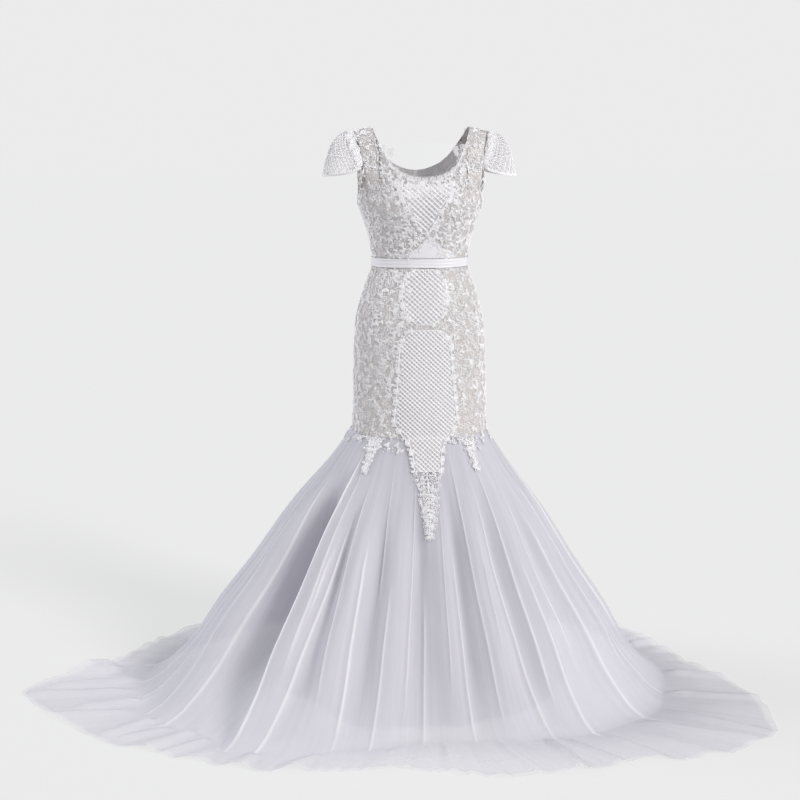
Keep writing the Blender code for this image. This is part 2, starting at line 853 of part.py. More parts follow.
LATTICES = (
    ("lace_bust", BUST_LATTICE, BUST_PITCH),
    ("lace_medallion", MEDALLION, BUST_PITCH),
    ("lace_shield", SHIELD, SHIELD_PITCH),
)
for lattice_name, lattice_outline, lattice_pitch in LATTICES:
    relief_piece(
        lattice_name,
        lattice_cells(lattice_outline, lattice_pitch),
        front_point,
        CLOTH + OVERLAY_GAP,
        LACE_RISE,
        LACE_THIN,
        LACE_WHITE,
        LACE_ROUGHNESS,
    )

TAILS = (
    ("lace_tail_front", 0.0, 0.6190, 0.4720, 0.0330, 0.0050, 4, 8),
    ("lace_tail_left", 39.0, 0.6930, 0.6180, 0.0150, 0.0040, 4, 7),
    ("lace_tail_right", -46.0, 0.6930, 0.6180, 0.0150, 0.0040, 4, 7),
)
for tail_name, centre, head, foot, head_half, foot_half, tail_columns, tail_rows in TAILS:
    def tail_place(column, row):
        share = row / tail_rows
        half = foot_half + (head_half - foot_half) * share
        return half * (2 * column / tail_columns - 1), foot + (head - foot) * share

    def tail_point(offset, height, middle=centre):
        down = 1 - height / (KNEE_HEIGHT - KNEE_SEAM)
        radius = math.hypot(*tulle_point(middle, down).xy)
        return on_front_tulle(middle + math.degrees(offset / radius), down)

    relief_piece(
        tail_name,
        grid_cells(tail_columns, tail_rows, tail_place),
        tail_point,
        CLOTH + OVERLAY_GAP,
        LACE_RISE,
        LACE_THIN,
        LACE_WHITE,
        LACE_ROUGHNESS,
    )

for old in list(bpy.data.objects):
    if old.name not in gown.objects:
        bpy.data.objects.remove(old, do_unlink=True)
bpy.context.scene.collection.children.link(gown)
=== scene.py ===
import math

import bmesh
import bpy
import numpy as np
from mathutils import Euler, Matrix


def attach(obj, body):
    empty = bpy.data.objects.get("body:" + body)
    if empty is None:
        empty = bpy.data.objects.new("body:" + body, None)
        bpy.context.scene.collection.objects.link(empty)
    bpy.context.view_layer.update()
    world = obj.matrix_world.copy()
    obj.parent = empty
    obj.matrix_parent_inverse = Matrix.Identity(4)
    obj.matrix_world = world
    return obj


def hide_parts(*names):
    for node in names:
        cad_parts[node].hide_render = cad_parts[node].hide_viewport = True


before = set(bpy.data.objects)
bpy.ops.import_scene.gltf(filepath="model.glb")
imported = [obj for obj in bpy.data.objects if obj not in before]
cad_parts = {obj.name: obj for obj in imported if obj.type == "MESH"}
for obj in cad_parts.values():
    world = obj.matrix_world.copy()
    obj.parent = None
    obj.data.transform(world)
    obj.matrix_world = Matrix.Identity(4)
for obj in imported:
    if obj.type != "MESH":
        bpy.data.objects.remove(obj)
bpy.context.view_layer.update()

# The camera, the pale floor and the studio light. The gown is seen from a little to its right and from
# just under its shoulders, with a soft key light high on the camera's right and a pale room all round.
SHOULDER_HEIGHT = 1.474
CAMERA_DISTANCE = 3.30
CAMERA_HEIGHT = 1.43
CAMERA_TURN = -7.0
CAMERA_PITCH = 11.3
CAMERA_YAW = 0.874
FOCAL_PIXELS = 1278
PHOTO_PIXELS = 800
SENSOR = 36.0
BACKDROP = (0.832, 0.832, 0.832, 1)
ROOM_LIGHT = (0.93, 0.95, 1.0, 1)
ROOM_STRENGTH = 0.34
SUNS = (
    ("key", (58.0, 0.0, 46.0), 2.4, 18.0, (1.0, 0.98, 0.955)),
    ("side", (60.0, 0.0, -105.0), 1.6, 26.0, (0.97, 0.98, 1.0)),
)
FLOOR_SIZE = 60.0
FLOOR_DROP = 0.0006
FLOOR_GREY = 0.22
FLOOR_GLOW = 0.616

scene = bpy.context.scene
scene.view_settings.view_transform = "Standard"
scene.cycles.transparent_max_bounces = 32

camera_data = bpy.data.cameras.new("camera")
camera_data.sensor_width = SENSOR
camera_data.lens = SENSOR * FOCAL_PIXELS / PHOTO_PIXELS
camera = bpy.data.objects.new("camera", camera_data)
turn = math.radians(CAMERA_TURN)
camera.location = (
    CAMERA_DISTANCE * math.sin(turn),
    -CAMERA_DISTANCE * math.cos(turn),
    CAMERA_HEIGHT - SHOULDER_HEIGHT,
)
camera.rotation_euler = (math.radians(90 - CAMERA_PITCH), 0, turn + math.radians(CAMERA_YAW))
scene.collection.objects.link(camera)
scene.camera = camera

world = bpy.data.worlds.new("studio")
scene.world = world
world.use_nodes = True
sky = world.node_tree
room = sky.nodes["Background"]
room.inputs["Color"].default_value = ROOM_LIGHT
room.inputs["Strength"].default_value = ROOM_STRENGTH
seen = sky.nodes.new("ShaderNodeBackground")
seen.inputs["Color"].default_value = BACKDROP
path = sky.nodes.new("ShaderNodeLightPath")
choose = sky.nodes.new("ShaderNodeMixShader")
sky.links.new(path.outputs["Is Camera Ray"], choose.inputs["Fac"])
sky.links.new(room.outputs["Background"], choose.inputs[1])
sky.links.new(seen.outputs["Background"], choose.inputs[2])
sky.links.new(choose.outputs["Shader"], sky.nodes["World Output"].inputs["Surface"])

for name, direction, strength, size, colour in SUNS:
    sun = bpy.data.lights.new(name, "SUN")
    sun.energy = strength
    sun.angle = math.radians(size)
    sun.color = colour
    lamp = bpy.data.objects.new(name, sun)
    lamp.rotation_euler = Euler([math.radians(part) for part in direction])
    scene.collection.objects.link(lamp)


def plain_material(name, colour, roughness):
    """A new material and its Principled shader."""
    made = bpy.data.materials.new(name)
    made.use_nodes = True
    shader = made.node_tree.nodes["Principled BSDF"]
    shader.inputs["Base Color"].default_value = (*colour, 1)
    shader.inputs["Roughness"].default_value = roughness
    return made, shader


floor_mesh = bpy.data.meshes.new("floor")
shape = bmesh.new()
bmesh.ops.create_grid(shape, x_segments=1, y_segments=1, size=FLOOR_SIZE)
for corner in shape.verts:
    corner.co.z = -SHOULDER_HEIGHT - FLOOR_DROP
shape.to_mesh(floor_mesh)
shape.free()
floor = bpy.data.objects.new("floor", floor_mesh)
scene.collection.objects.link(floor)
floor_paint, floor_shader = plain_material("studio_floor", (FLOOR_GREY,) * 3, 0.9)
floor_shader.inputs["Specular IOR Level"].default_value = 0
floor_shader.inputs["Emission Color"].default_value = (1, 1, 1, 1)
floor_shader.inputs["Emission Strength"].default_value = FLOOR_GLOW
floor_mesh.materials.append(floor_paint)


# The fitted body: one front panel and two backs from the straps to the waist, and three more from the
# waist to the knee. White beaded lace lies on pale satin, whose colour between the lace is darkened as
# painted shade; side seams and waist seam are sewn edge to edge.
KNEE_HEIGHT = 0.700
WAIST_HEIGHT = 1.137
BUST_HEIGHT = 1.285
ARMPIT_HEIGHT = 1.309
CLOTH = 0.0015
SQUARENESS = 2.3
ARM_WIDENING = 0.050
CUP_FULLNESS = 0.014
CUP_ANGLE = 35.0
CUP_SPREAD = 29.0
CUP_HEIGHT = 1.288
CUP_RISE = 0.062
ARCH_LENGTH = 0.14
SEAM_ANGLE = 0.06
ZIP_ANGLE = 2.2
ZIP_END = 0.950


def table(names, *rows):
    """A table's rows as one list for each named column."""
    return dict(zip(names.split(), np.array(rows, float).T))


def smooth(rows, key, name, at):
    """Values in column name at places in column key, on a smooth curve through the rows."""
    places = rows[key]
    values = rows[name]
    slopes = np.gradient(values, places)
    row = np.clip(np.searchsorted(places, at) - 1, 0, len(places) - 2)
    gap = places[row + 1] - places[row]
    t = np.clip((at - places[row]) / gap, 0.0, 1.0)
    rise = t * t * (3 - 2 * t)
    leave = t * (1 - t) ** 2 * gap * slopes[row]
    arrive = t * t * (t - 1) * gap * slopes[row + 1]
    return values[row] + rise * (values[row + 1] - values[row]) + leave + arrive


def ease(share):
    """A soft step from 0 to 1."""
    share = np.clip(share, 0.0, 1.0)
    return share * share * (3 - 2 * share)


BODY = table(
    "height half_width front back",
    (0.700, 0.1740, 0.150, 0.140),
    (0.750, 0.1720, 0.145, 0.134),
    (0.800, 0.1710, 0.140, 0.130),
    (0.870, 0.1690, 0.132, 0.129),
    (0.940, 0.1660, 0.126, 0.128),
    (1.000, 0.1600, 0.117, 0.125),
    (1.035, 0.1510, 0.108, 0.118),
    (1.070, 0.1400, 0.099, 0.106),
    (1.110, 0.1255, 0.091, 0.091),
    (1.137, 0.1200, 0.088, 0.085),
    (1.175, 0.1235, 0.093, 0.086),
    (1.215, 0.1325, 0.101, 0.091),
    (1.250, 0.1440, 0.108, 0.096),
    (1.285, 0.1560, 0.112, 0.100),
    (1.309, 0.1545, 0.109, 0.099),
)
RIDGE = table(
    "across height",
    (0.000, 1.520),
    (0.080, 1.492),
    (0.124, 1.474),
    (0.172, 1.463),
    (0.200, 1.452),
)
TOP_FRONT = table(
    "angle half_width height",
    (0.0, 0.0000, 1.342),
    (9.0, 0.0200, 1.343),
    (18.0, 0.0400, 1.348),
    (27.0, 0.0620, 1.359),
    (34.0, 0.0800, 1.377),
    (40.0, 0.0940, 1.402),
    (44.0, 0.1090, 1.434),
    (48.0, 0.1240, 1.474),
    (64.0, 0.1720, 1.463),
    (68.0, 0.1600, 1.430),
    (73.0, 0.1510, 1.390),
    (79.0, 0.1490, 1.355),
    (85.0, 0.1515, 1.326),
    (90.0, 0.1545, 1.309),
)
TOP_BACK = table(
    "angle half_width height",
    (0.0, 0.0000, 1.365),
    (9.0, 0.0200, 1.367),
    (18.0, 0.0400, 1.373),
    (27.0, 0.0640, 1.385),
    (34.0, 0.0830, 1.402),
    (40.0, 0.0990, 1.425),
    (44.0, 0.1120, 1.446),
    (48.0, 0.1240, 1.474),
    (64.0, 0.1720, 1.463),
    (68.0, 0.1620, 1.430),
    (73.0, 0.1540, 1.390),
    (79.0, 0.1520, 1.355),
    (85.0, 0.1525, 1.326),
    (90.0, 0.1545, 1.309),
)


def with_cups(x, y, height):
    """Points of the body moved out where the bust cups are full, in the gown's own frame."""
    angle = np.degrees(np.arctan2(x, -y))
    swell = 0.0
    for side in (-1, 1):
        away = (angle - side * CUP_ANGLE) / CUP_SPREAD
        above = (height - CUP_HEIGHT) / CUP_RISE
        swell = swell + CUP_FULLNESS * np.exp(-away * away - above * above)
    scale = 1 + swell / np.hypot(x, y)
    return np.stack((x * scale, y * scale, height - SHOULDER_HEIGHT + 0 * x), axis=-1)


def ring_radius(angle, height):
    """How far the body lies from the middle line, on a squarish oval section."""
    turn = np.radians(angle)
    half_width = smooth(BODY, "height", "half_width", height)
    front = smooth(BODY, "height", "front", height)
    back = smooth(BODY, "height", "back", height)
    depth = np.where(np.cos(turn) < 0, back, front)
    across = np.abs(np.sin(turn)) / half_width
    along = np.abs(np.cos(turn)) / depth
    return (across**SQUARENESS + along**SQUARENESS) ** (-1 / SQUARENESS)


def body_point(angle, height):
    """The body below the bust, at an angle round the figure."""
    turn = np.radians(angle)
    radius = ring_radius(angle, height)
    return with_cups(radius * np.sin(turn), -radius * np.cos(turn), height)


def chest_point(x, height, back=False):
    """The body at a place across it, as seen from the front or the back."""
    half_width = smooth(BODY, "height", "half_width", height)
    half_width = half_width + ARM_WIDENING * ease((height - ARMPIT_HEIGHT) / ARM_WIDENING)
    depth = smooth(BODY, "height", "back" if back else "front", height)
    section = (1 - np.minimum(np.abs(x) / half_width, 1.0) ** SQUARENESS) ** (1 / SQUARENESS)
    ridge = np.interp(np.abs(x), RIDGE["across"], RIDGE["height"])
    lift = np.clip((height - BUST_HEIGHT) / (ridge - BUST_HEIGHT), 0.0, 1.0)
    depth = np.maximum(depth * section * np.sqrt(1 - lift * lift), 0.0002)
    return with_cups(x, depth if back else -depth, height)


def arch_point(angle, share, back):
    """The bodice above the bust: share 0 lies on the bust line and share 1 on the top edge."""
    edge = TOP_BACK if back else TOP_FRONT
    size = np.abs(angle)
    foot = ring_radius(angle + (180 if back else 0), BUST_HEIGHT) * np.sin(np.radians(size))
    top = np.interp(size, edge["angle"], edge["half_width"])
    top_height = np.interp(size, edge["angle"], edge["height"])
    ridge = np.interp(top, RIDGE["across"], RIDGE["height"])
    top_turn = np.arcsin(np.minimum((top_height - BUST_HEIGHT) / (ridge - BUST_HEIGHT), 1.0))
    x = foot + (top - foot) * share
    ridge = np.interp(x, RIDGE["across"], RIDGE["height"])
    height = BUST_HEIGHT + (ridge - BUST_HEIGHT) * np.sin(top_turn * share)
    side = np.where((angle < 0) != back, -1, 1)
    return chest_point(side * x, height, back)


def gown_point(angle, level, back=False):
    """The front or back from the knee to the top edge. Above the bust, level climbs to the edge."""
    angle = np.asarray(angle, float) + 0 * level
    level = np.asarray(level, float) + 0 * angle
    low = body_point(angle + (180 if back else 0), np.minimum(level, BUST_HEIGHT))
    share = np.clip((level - BUST_HEIGHT) / ARCH_LENGTH, 0.0, 1.0)
    high = arch_point(angle, share, back)
    return np.where((level <= BUST_HEIGHT)[..., None], low, high)


NORMAL_STEP = 0.05


def lifted(point, u, v, out, step_u=NORMAL_STEP, step_v=0.0005):
    """Points of a surface moved out along its normals, with the normals."""
    across = point(u + step_u, v) - point(u - step_u, v)
    up = point(u, v + step_v) - point(u, v - step_v)
    normal = np.cross(across, up)
    normal /= np.maximum(np.linalg.norm(normal, axis=-1, keepdims=True), 1e-12)
    return point(u, v) + normal * np.asarray(out)[..., None], normal


def cloth(name, columns, rows, place, size, paint, masks=None):
    """A thin cloth grid put in place by place(u, v), with a UV map in metres and named point masks."""
    shape = bmesh.new()
    uv = shape.loops.layers.uv.new("cloth")
    bmesh.ops.create_grid(shape, x_segments=columns, y_segments=rows, size=1, calc_uvs=False)
    flat = np.array([corner.co.xy for corner in shape.verts]) * 0.5 + 0.5
    points = place(flat[:, 0], flat[:, 1])
    for corner, point in zip(shape.verts, points):
        corner.co = point
    shape.verts.index_update()
    for face in shape.faces:
        face.smooth = True
        for loop in face.loops:
            share = flat[loop.vert.index]
            loop[uv].uv = (share[0] * size[0], share[1] * size[1])
    made = bpy.data.meshes.new(name)
    shape.to_mesh(made)
    shape.free()
    for mask, values in (masks(flat[:, 0], flat[:, 1]) if masks else {}).items():
        layer = made.attributes.new(mask, "FLOAT", "POINT")
        layer.data.foreach_set("value", values)
    made.materials.append(paint)
    piece = bpy.data.objects.new(name, made)
    scene.collection.objects.link(piece)
    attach(piece, "root")
    return piece


def new_group(name, inputs, outputs):
    """An empty shader group with named sockets, and its two ends."""
    group = bpy.data.node_groups.new(name, "ShaderNodeTree")
    for socket, kind in inputs:
        group.interface.new_socket(socket, in_out="INPUT", socket_type=kind)
    for socket, kind in outputs:
        group.interface.new_socket(socket, in_out="OUTPUT", socket_type=kind)
    return group, group.nodes.new("NodeGroupInput"), group.nodes.new("NodeGroupOutput")


def maths(tree, operation, first, second=None, third=None, clamp=False):
    """A Math node fed by sockets or numbers."""
    node = tree.nodes.new("ShaderNodeMath")
    node.operation = operation
    node.use_clamp = clamp
    for socket, value in zip(node.inputs, (first, second, third)):
        if value is None:
            continue
        if isinstance(value, (int, float)):
            socket.default_value = value
        else:
            tree.links.new(value, socket)
    return node.outputs[0]


FLOAT = "NodeSocketFloat"
VECTOR = "NodeSocketVector"


def make_lace_group():
    """Flowers with round petals, set close among thin vines, from a cloth's UV map in metres."""
    group, start, end = new_group(
        "lace_flowers",
        [("Vector", VECTOR), ("Flower Size", FLOAT), ("Petals", FLOAT)],
        [("Mask", FLOAT), ("Height", FLOAT)],
    )
    links = group.links
    scaled = group.nodes.new("ShaderNodeVectorMath")
    scaled.operation = "SCALE"
    inverse = maths(group, "DIVIDE", 1.0, start.outputs["Flower Size"])
    links.new(start.outputs["Vector"], scaled.inputs[0])
    links.new(inverse, scaled.inputs["Scale"])
    cells = group.nodes.new("ShaderNodeTexVoronoi")
    cells.voronoi_dimensions = "2D"
    cells.inputs["Scale"].default_value = 1.0
    cells.inputs["Randomness"].default_value = 0.75
    links.new(scaled.outputs["Vector"], cells.inputs["Vector"])
    away = group.nodes.new("ShaderNodeVectorMath")
    away.operation = "SUBTRACT"
    links.new(scaled.outputs["Vector"], away.inputs[0])
    links.new(cells.outputs["Position"], away.inputs[1])
    parts = group.nodes.new("ShaderNodeSeparateXYZ")
    links.new(away.outputs["Vector"], parts.inputs[0])
    turned = maths(group, "ARCTAN2", parts.outputs["Y"], parts.outputs["X"])
    petals = maths(group, "MULTIPLY", turned, start.outputs["Petals"])
    wave = maths(group, "COSINE", petals)
    reach = maths(group, "MULTIPLY_ADD", wave, 0.12, 0.36)
    rim = maths(group, "SUBTRACT", reach, cells.outputs["Distance"])
    petal = maths(group, "MULTIPLY", rim, 9.0, clamp=True)
    ring = maths(group, "ABSOLUTE", maths(group, "SUBTRACT", cells.outputs["Distance"], 0.10))
    eye = maths(group, "MULTIPLY", maths(group, "SUBTRACT", ring, 0.025), 20.0, clamp=True)
    flower = maths(group, "MULTIPLY", petal, eye)
    vines = group.nodes.new("ShaderNodeTexVoronoi")
    vines.voronoi_dimensions = "2D"
    vines.feature = "DISTANCE_TO_EDGE"
    vines.inputs["Scale"].default_value = 2.6
    links.new(scaled.outputs["Vector"], vines.inputs["Vector"])
    vine = maths(group, "SUBTRACT", 1.0, maths(group, "MULTIPLY", vines.outputs["Distance"], 9.0), clamp=True)
    both = maths(group, "MAXIMUM", flower, maths(group, "MULTIPLY", vine, 0.8))
    links.new(both, end.inputs["Mask"])
    rounded = maths(group, "SQRT", both)
    links.new(rounded, end.inputs["Height"])
    return group


lace_flowers = make_lace_group()


def lace_material(name, ground, lace, flower_size, petals, bump):
    """White corded lace over a ground colour, raised by its own pattern; the ground given is satin darkened
    as painted shade between the lace.
    """
    made, shader = plain_material(name, lace, 0.5)
    tree = made.node_tree
    where = tree.nodes.new("ShaderNodeUVMap")
    where.uv_map = "cloth"
    flowers = tree.nodes.new("ShaderNodeGroup")
    flowers.node_tree = lace_flowers
    flowers.inputs["Flower Size"].default_value = flower_size
    flowers.inputs["Petals"].default_value = petals
    tree.links.new(where.outputs["UV"], flowers.inputs["Vector"])
    mix = tree.nodes.new("ShaderNodeMix")
    mix.data_type = "RGBA"
    # Painted shade: the satin showing between the lace takes the darkened ground colour.
    mix.inputs[6].default_value = (*ground, 1)
    mix.inputs[7].default_value = (*lace, 1)
    tree.links.new(flowers.outputs["Mask"], mix.inputs[0])
    tree.links.new(mix.outputs[2], shader.inputs["Base Color"])
    rough = maths(tree, "MULTIPLY_ADD", flowers.outputs["Mask"], 0.25, 0.35)
    tree.links.new(rough, shader.inputs["Roughness"])
    raised = tree.nodes.new("ShaderNodeBump")
    raised.inputs["Distance"].default_value = bump
    tree.links.new(flowers.outputs["Height"], raised.inputs["Height"])
    tree.links.new(raised.outputs["Normal"], shader.inputs["Normal"])
    return made


# Painted shade: the satin ground gets a darker, brownish tone standing in for the shade between the raised
# lace; the lace white is its own colour.
LACE_GROUND_WITH_PAINTED_SHADE = (0.60, 0.56, 0.55)
LACE_WHITE = (0.80, 0.78, 0.79)
body_lace = lace_material("beaded_lace_with_painted_shade", LACE_GROUND_WITH_PAINTED_SHADE, LACE_WHITE, 0.019, 6.0, 0.0012)
BODY_PANELS = (
    ("front", False, -90.0, 90.0),
    ("back_left", True, -90.0, 0.0),
    ("back_right", True, 0.0, 90.0),
)
LACE_COLUMNS = {"front": 90, "back_left": 45, "back_right": 45}
LACE_ROWS = 60
WAIST_GAP = 0.001
BODICE_CUT = {"front": (0.50, 0.30), "back_left": (0.24, 0.30), "back_right": (0.24, 0.30)}
SKIRT_CUT = {"front": (0.46, 0.44), "back_left": (0.24, 0.44), "back_right": (0.24, 0.44)}


def panel_edges(side, start, end, level):
    """Where a panel's two upright edges lie at a level, clear of the seams and of the zip."""
    slot = np.where(level > ZIP_END, ZIP_ANGLE, 0) + SEAM_ANGLE
    first = start + (slot if side == "back_right" else SEAM_ANGLE)
    last = end - (slot if side == "back_left" else SEAM_ANGLE)
    return first, last


for side, back, start, end in BODY_PANELS:
    def bodice_place(u, v):
        level = WAIST_HEIGHT + WAIST_GAP + (BUST_HEIGHT + ARCH_LENGTH - WAIST_HEIGHT - WAIST_GAP) * v
        first, last = panel_edges(side, start, end, level)
        angle = first + (last - first) * u
        return lifted(lambda a, h: gown_point(a, h, back), angle, level, CLOTH + 0 * u)[0]

    def skirt_place(u, v):
        level = KNEE_HEIGHT + (WAIST_HEIGHT - KNEE_HEIGHT) * v
        first, last = panel_edges(side, start, end, level)
        angle = first + (last - first) * u
        return lifted(lambda a, h: gown_point(a, h, back), angle, level, CLOTH + 0 * u)[0]

    for part_name, place, cut in (("bodice", bodice_place, BODICE_CUT), ("skirt", skirt_place, SKIRT_CUT)):
        title = f"{part_name}_{side}_lace"
        piece = cloth(title, LACE_COLUMNS[side], LACE_ROWS, place, cut[side], body_lace)
        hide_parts(f"{part_name}_{side}")


# The net skirt: four panels of soft net, gathered at the knee and laid out in a train. Each panel has two
# layers, the upper one a little fuller, with cut edges. The folds fan out from the knee to the floor.
KNEE_SEAM = 0.0018
FLOOR_CLEAR = 0.0012
SPREAD = table(
    "drop reach",
    (0.000, 0.000),
    (0.120, 0.110),
    (0.260, 0.250),
    (0.515, 0.471),
    (0.687, 0.637),
    (0.864, 0.795),
    (0.928, 0.871),
    (0.978, 0.945),
    (1.000, 1.000),
)
HEM = table(
    "angle landing hem",
    (-180, 0.470, 0.800),
    (-150, 0.520, 0.760),
    (-125, 0.610, 0.760),
    (-108, 0.690, 0.830),
    (-98, 0.730, 0.900),
    (-91, 0.745, 1.050),
    (-84, 0.745, 1.010),
    (-69, 0.720, 0.874),
    (-52, 0.660, 0.730),
    (-44, 0.610, 0.690),
    (-32, 0.530, 0.621),
    (-12, 0.440, 0.552),
    (0, 0.420, 0.568),
    (14, 0.440, 0.620),
    (28, 0.490, 0.666),
    (39, 0.540, 0.720),
    (51, 0.600, 0.863),
    (61, 0.640, 0.950),
    (73, 0.660, 0.905),
    (88, 0.660, 0.780),
    (108, 0.620, 0.720),
    (130, 0.570, 0.730),
    (155, 0.500, 0.760),
    (180, 0.470, 0.800),
)
FOLDS = table(
    "angle width depth",
    (-168, 9, 0.020),
    (-150, 8, -0.026),
    (-134, 8, 0.024),
    (-118, 7, -0.022),
    (-104, 7, 0.016),
    (-88, 6, -0.012),
    (-75, 7, 0.014),
    (-61, 7, -0.080),
    (-50, 4, 0.030),
    (-43, 3, -0.014),
    (-37, 4, 0.018),
    (-28, 4, -0.014),
    (-19, 5, 0.008),
    (-8, 5, -0.012),
    (4, 5, 0.006),
    (14, 4, -0.012),
    (23, 5, 0.010),
    (33, 4, -0.014),
    (42, 5, 0.012),
    (52, 4, -0.012),
    (62, 6, 0.014),
    (74, 5, -0.014),
    (88, 7, 0.014),
    (103, 7, -0.020),
    (118, 8, 0.024),
    (135, 8, -0.026),
    (152, 8, 0.022),
    (168, 8, -0.018),
)
# Small crisp creases on the panels: where each starts and ends round the knee and the floor, how far down
# it runs, how wide it is in degrees and how far it stands out.
CREASES = table(
    "top foot start end width rise",
    (-52.0, -51.0, 0.02, 1.05, 0.9, 0.014),
    (-47.5, -47.0, 0.03, 0.80, 0.5, 0.006),
    (-43.0, -45.5, 0.25, 1.20, 0.7, 0.008),
    (-40.0, -36.5, 0.10, 0.90, 0.5, 0.006),
    (-34.0, -30.5, 0.30, 1.05, 0.9, 0.007),
    (-26.0, -24.0, 0.06, 0.60, 0.6, 0.004),
    (-19.0, -21.0, 0.45, 1.10, 0.8, 0.006),
    (-9.0, -12.0, 0.10, 0.95, 0.7, 0.005),
    (-3.0, -5.0, 0.50, 1.15, 1.0, 0.006),
    (7.0, 6.0, 0.20, 0.90, 0.6, 0.005),
    (13.0, 12.0, 0.35, 1.10, 0.9, 0.006),
    (19.0, 22.0, 0.05, 1.00, 0.6, 0.006),
    (27.0, 26.5, 0.30, 0.75, 0.6, 0.005),
    (31.0, 33.5, 0.15, 1.10, 0.8, 0.006),
    (38.0, 38.0, 0.06, 0.95, 0.6, 0.007),
    (43.5, 43.0, 0.40, 1.20, 0.9, 0.006),
    (50.0, 50.0, 0.10, 0.80, 0.7, 0.006),
    (56.0, 57.5, 0.25, 1.30, 0.8, 0.006),
    (64.0, 66.0, 0.10, 0.90, 0.8, 0.007),
    (71.0, 72.0, 0.30, 1.35, 0.8, 0.006),
    (80.0, 80.0, 0.08, 0.85, 1.0, 0.008),
    (95.0, 93.0, 0.15, 1.10, 1.2, 0.008),
    (108.0, 110.0, 0.08, 0.90, 1.1, 0.009),
    (124.0, 123.0, 0.20, 1.20, 1.3, 0.008),
    (138.0, 141.0, 0.10, 1.00, 1.0, 0.009),
    (155.0, 154.0, 0.25, 1.25, 1.3, 0.008),
    (170.0, 172.0, 0.08, 0.95, 1.1, 0.009),
    (-175.0, -174.0, 0.20, 1.15, 1.2, 0.008),
    (-160.0, -158.0, 0.10, 0.90, 1.0, 0.009),
    (-143.0, -146.0, 0.15, 1.20, 1.3, 0.008),
    (-128.0, -127.0, 0.08, 1.00, 1.0, 0.009),
    (-113.0, -112.0, 0.20, 1.25, 1.2, 0.008),
    (-98.0, -100.0, 0.10, 1.30, 0.9, 0.007),
    (-90.0, -91.0, 0.15, 1.10, 0.7, 0.006),
    (-83.0, -83.0, 0.05, 1.25, 0.8, 0.006),
    (-77.0, -75.5, 0.20, 1.10, 0.7, 0.005),
    (-70.0, -69.0, 0.10, 1.30, 0.9, 0.006),
)
FOLD_START_DROP = 0.10
FOLD_FULL_DROP = 0.45
FOLD_FADE_DROP = 0.70
FOLD_FADE = 0.6
RUFFLE_LIFT = 0.010
# Low folds of the train: where each lies, how it drifts, from where to where it runs, its width and height.
TRAIN_FOLDS = table(
    "angle drift start end width lift",
    (-97.0, 0.0, 1.45, 2.30, 1.5, 0.038),
    (-92.0, 2.0, 0.95, 1.90, 1.1, 0.014),
    (-87.0, -1.5, 1.05, 2.05, 0.9, 0.012),
    (-82.0, 1.0, 0.92, 1.75, 1.0, 0.016),
    (-77.0, -2.0, 1.10, 2.20, 0.8, 0.011),
    (-72.0, 2.5, 0.94, 2.05, 1.0, 0.017),
    (-67.0, -1.0, 1.02, 1.90, 0.7, 0.012),
    (-63.0, 1.5, 0.93, 2.20, 0.9, 0.015),
    (-58.0, -1.0, 1.05, 2.10, 0.8, 0.010),
    (-46.0, 2.0, 1.00, 2.20, 1.1, 0.011),
    (-33.0, -2.0, 1.05, 2.20, 1.4, 0.010),
    (-15.0, 1.5, 1.10, 2.20, 1.6, 0.009),
    (2.0, -1.0, 1.05, 2.20, 1.3, 0.009),
    (18.0, 2.0, 1.02, 2.10, 1.2, 0.010),
    (31.0, -3.0, 1.00, 2.20, 0.9, 0.016),
    (34.5, 2.0, 1.05, 2.15, 0.7, 0.013),
    (44.0, -1.0, 1.05, 2.20, 1.0, 0.010),
    (55.0, 2.0, 1.00, 2.10, 1.0, 0.013),
    (63.0, -2.0, 1.05, 2.20, 0.8, 0.011),
    (72.0, 1.5, 0.98, 2.15, 1.0, 0.012),
    (84.0, -1.5, 1.05, 2.20, 1.2, 0.013),
    (101.0, 2.0, 1.02, 2.10, 1.6, 0.014),
    (122.0, -2.0, 1.00, 2.20, 1.8, 0.013),
    (143.0, 2.0, 1.05, 2.20, 1.9, 0.015),
    (166.0, -2.0, 1.00, 2.10, 1.8, 0.013),
    (-172.0, 2.0, 1.05, 2.20, 1.9, 0.015),
    (-151.0, -2.0, 1.00, 2.15, 1.8, 0.013),
    (-131.0, 2.0, 1.02, 2.20, 1.7, 0.014),
    (-113.0, -1.0, 1.05, 2.10, 1.5, 0.013),
)
GATHER_WIDTH = 0.42
GATHER_RISE = 0.009
FRONT_MIDDLE = 2.0
FRONT_THIN = 26.0
FAN_EDGE = -52.0
FAN_WALL = 4.0
FAN_REACH = 11.0
FAN_DEPTH = -0.055
CREASE_EASE = 0.16
LAYER_GAP = 0.010
LAYER_INSET = 0.0035
LAYER_TURN = 2.3
FRONT_COVER = 0.28
HEM_COVER = 0.42
HEM_REACH = 0.8
UPRIGHT_SHARE = 0.75
NET_SEAM_ANGLE = 0.05
NET_ROWS = 88
UNDER_NET_ROWS = 64
UNDER_NET_COLUMNS = 2.0


def round_gap(angle, centre):
    """The signed turn from a centre to an angle, the short way round."""
    return (angle - centre + 180) % 360 - 180


def fold_offset(angle):
    """How far the main folds stand out or in at an angle."""
    total = 0.0 * angle
    for centre, width, depth in zip(FOLDS["angle"], FOLDS["width"], FOLDS["depth"]):
        away = round_gap(angle, centre) / width
        total = total + depth * np.exp(-away * away)
    return total


def crease_offset(angle, down):
    """How far the small crisp creases stand out, each with a sharp crown and soft ends."""
    total = 0.0 * angle
    for i in range(len(CREASES["top"])):
        centre = CREASES["top"][i] + (CREASES["foot"][i] - CREASES["top"][i]) * np.minimum(down, 1.0)
        away = np.abs(round_gap(angle, centre)) / CREASES["width"][i]
        start = ease((down - CREASES["start"][i]) / CREASE_EASE)
        end = ease((CREASES["end"][i] - down) / CREASE_EASE)
        total = total + CREASES["rise"][i] * start * end * np.exp(-(away**1.3))
    return total


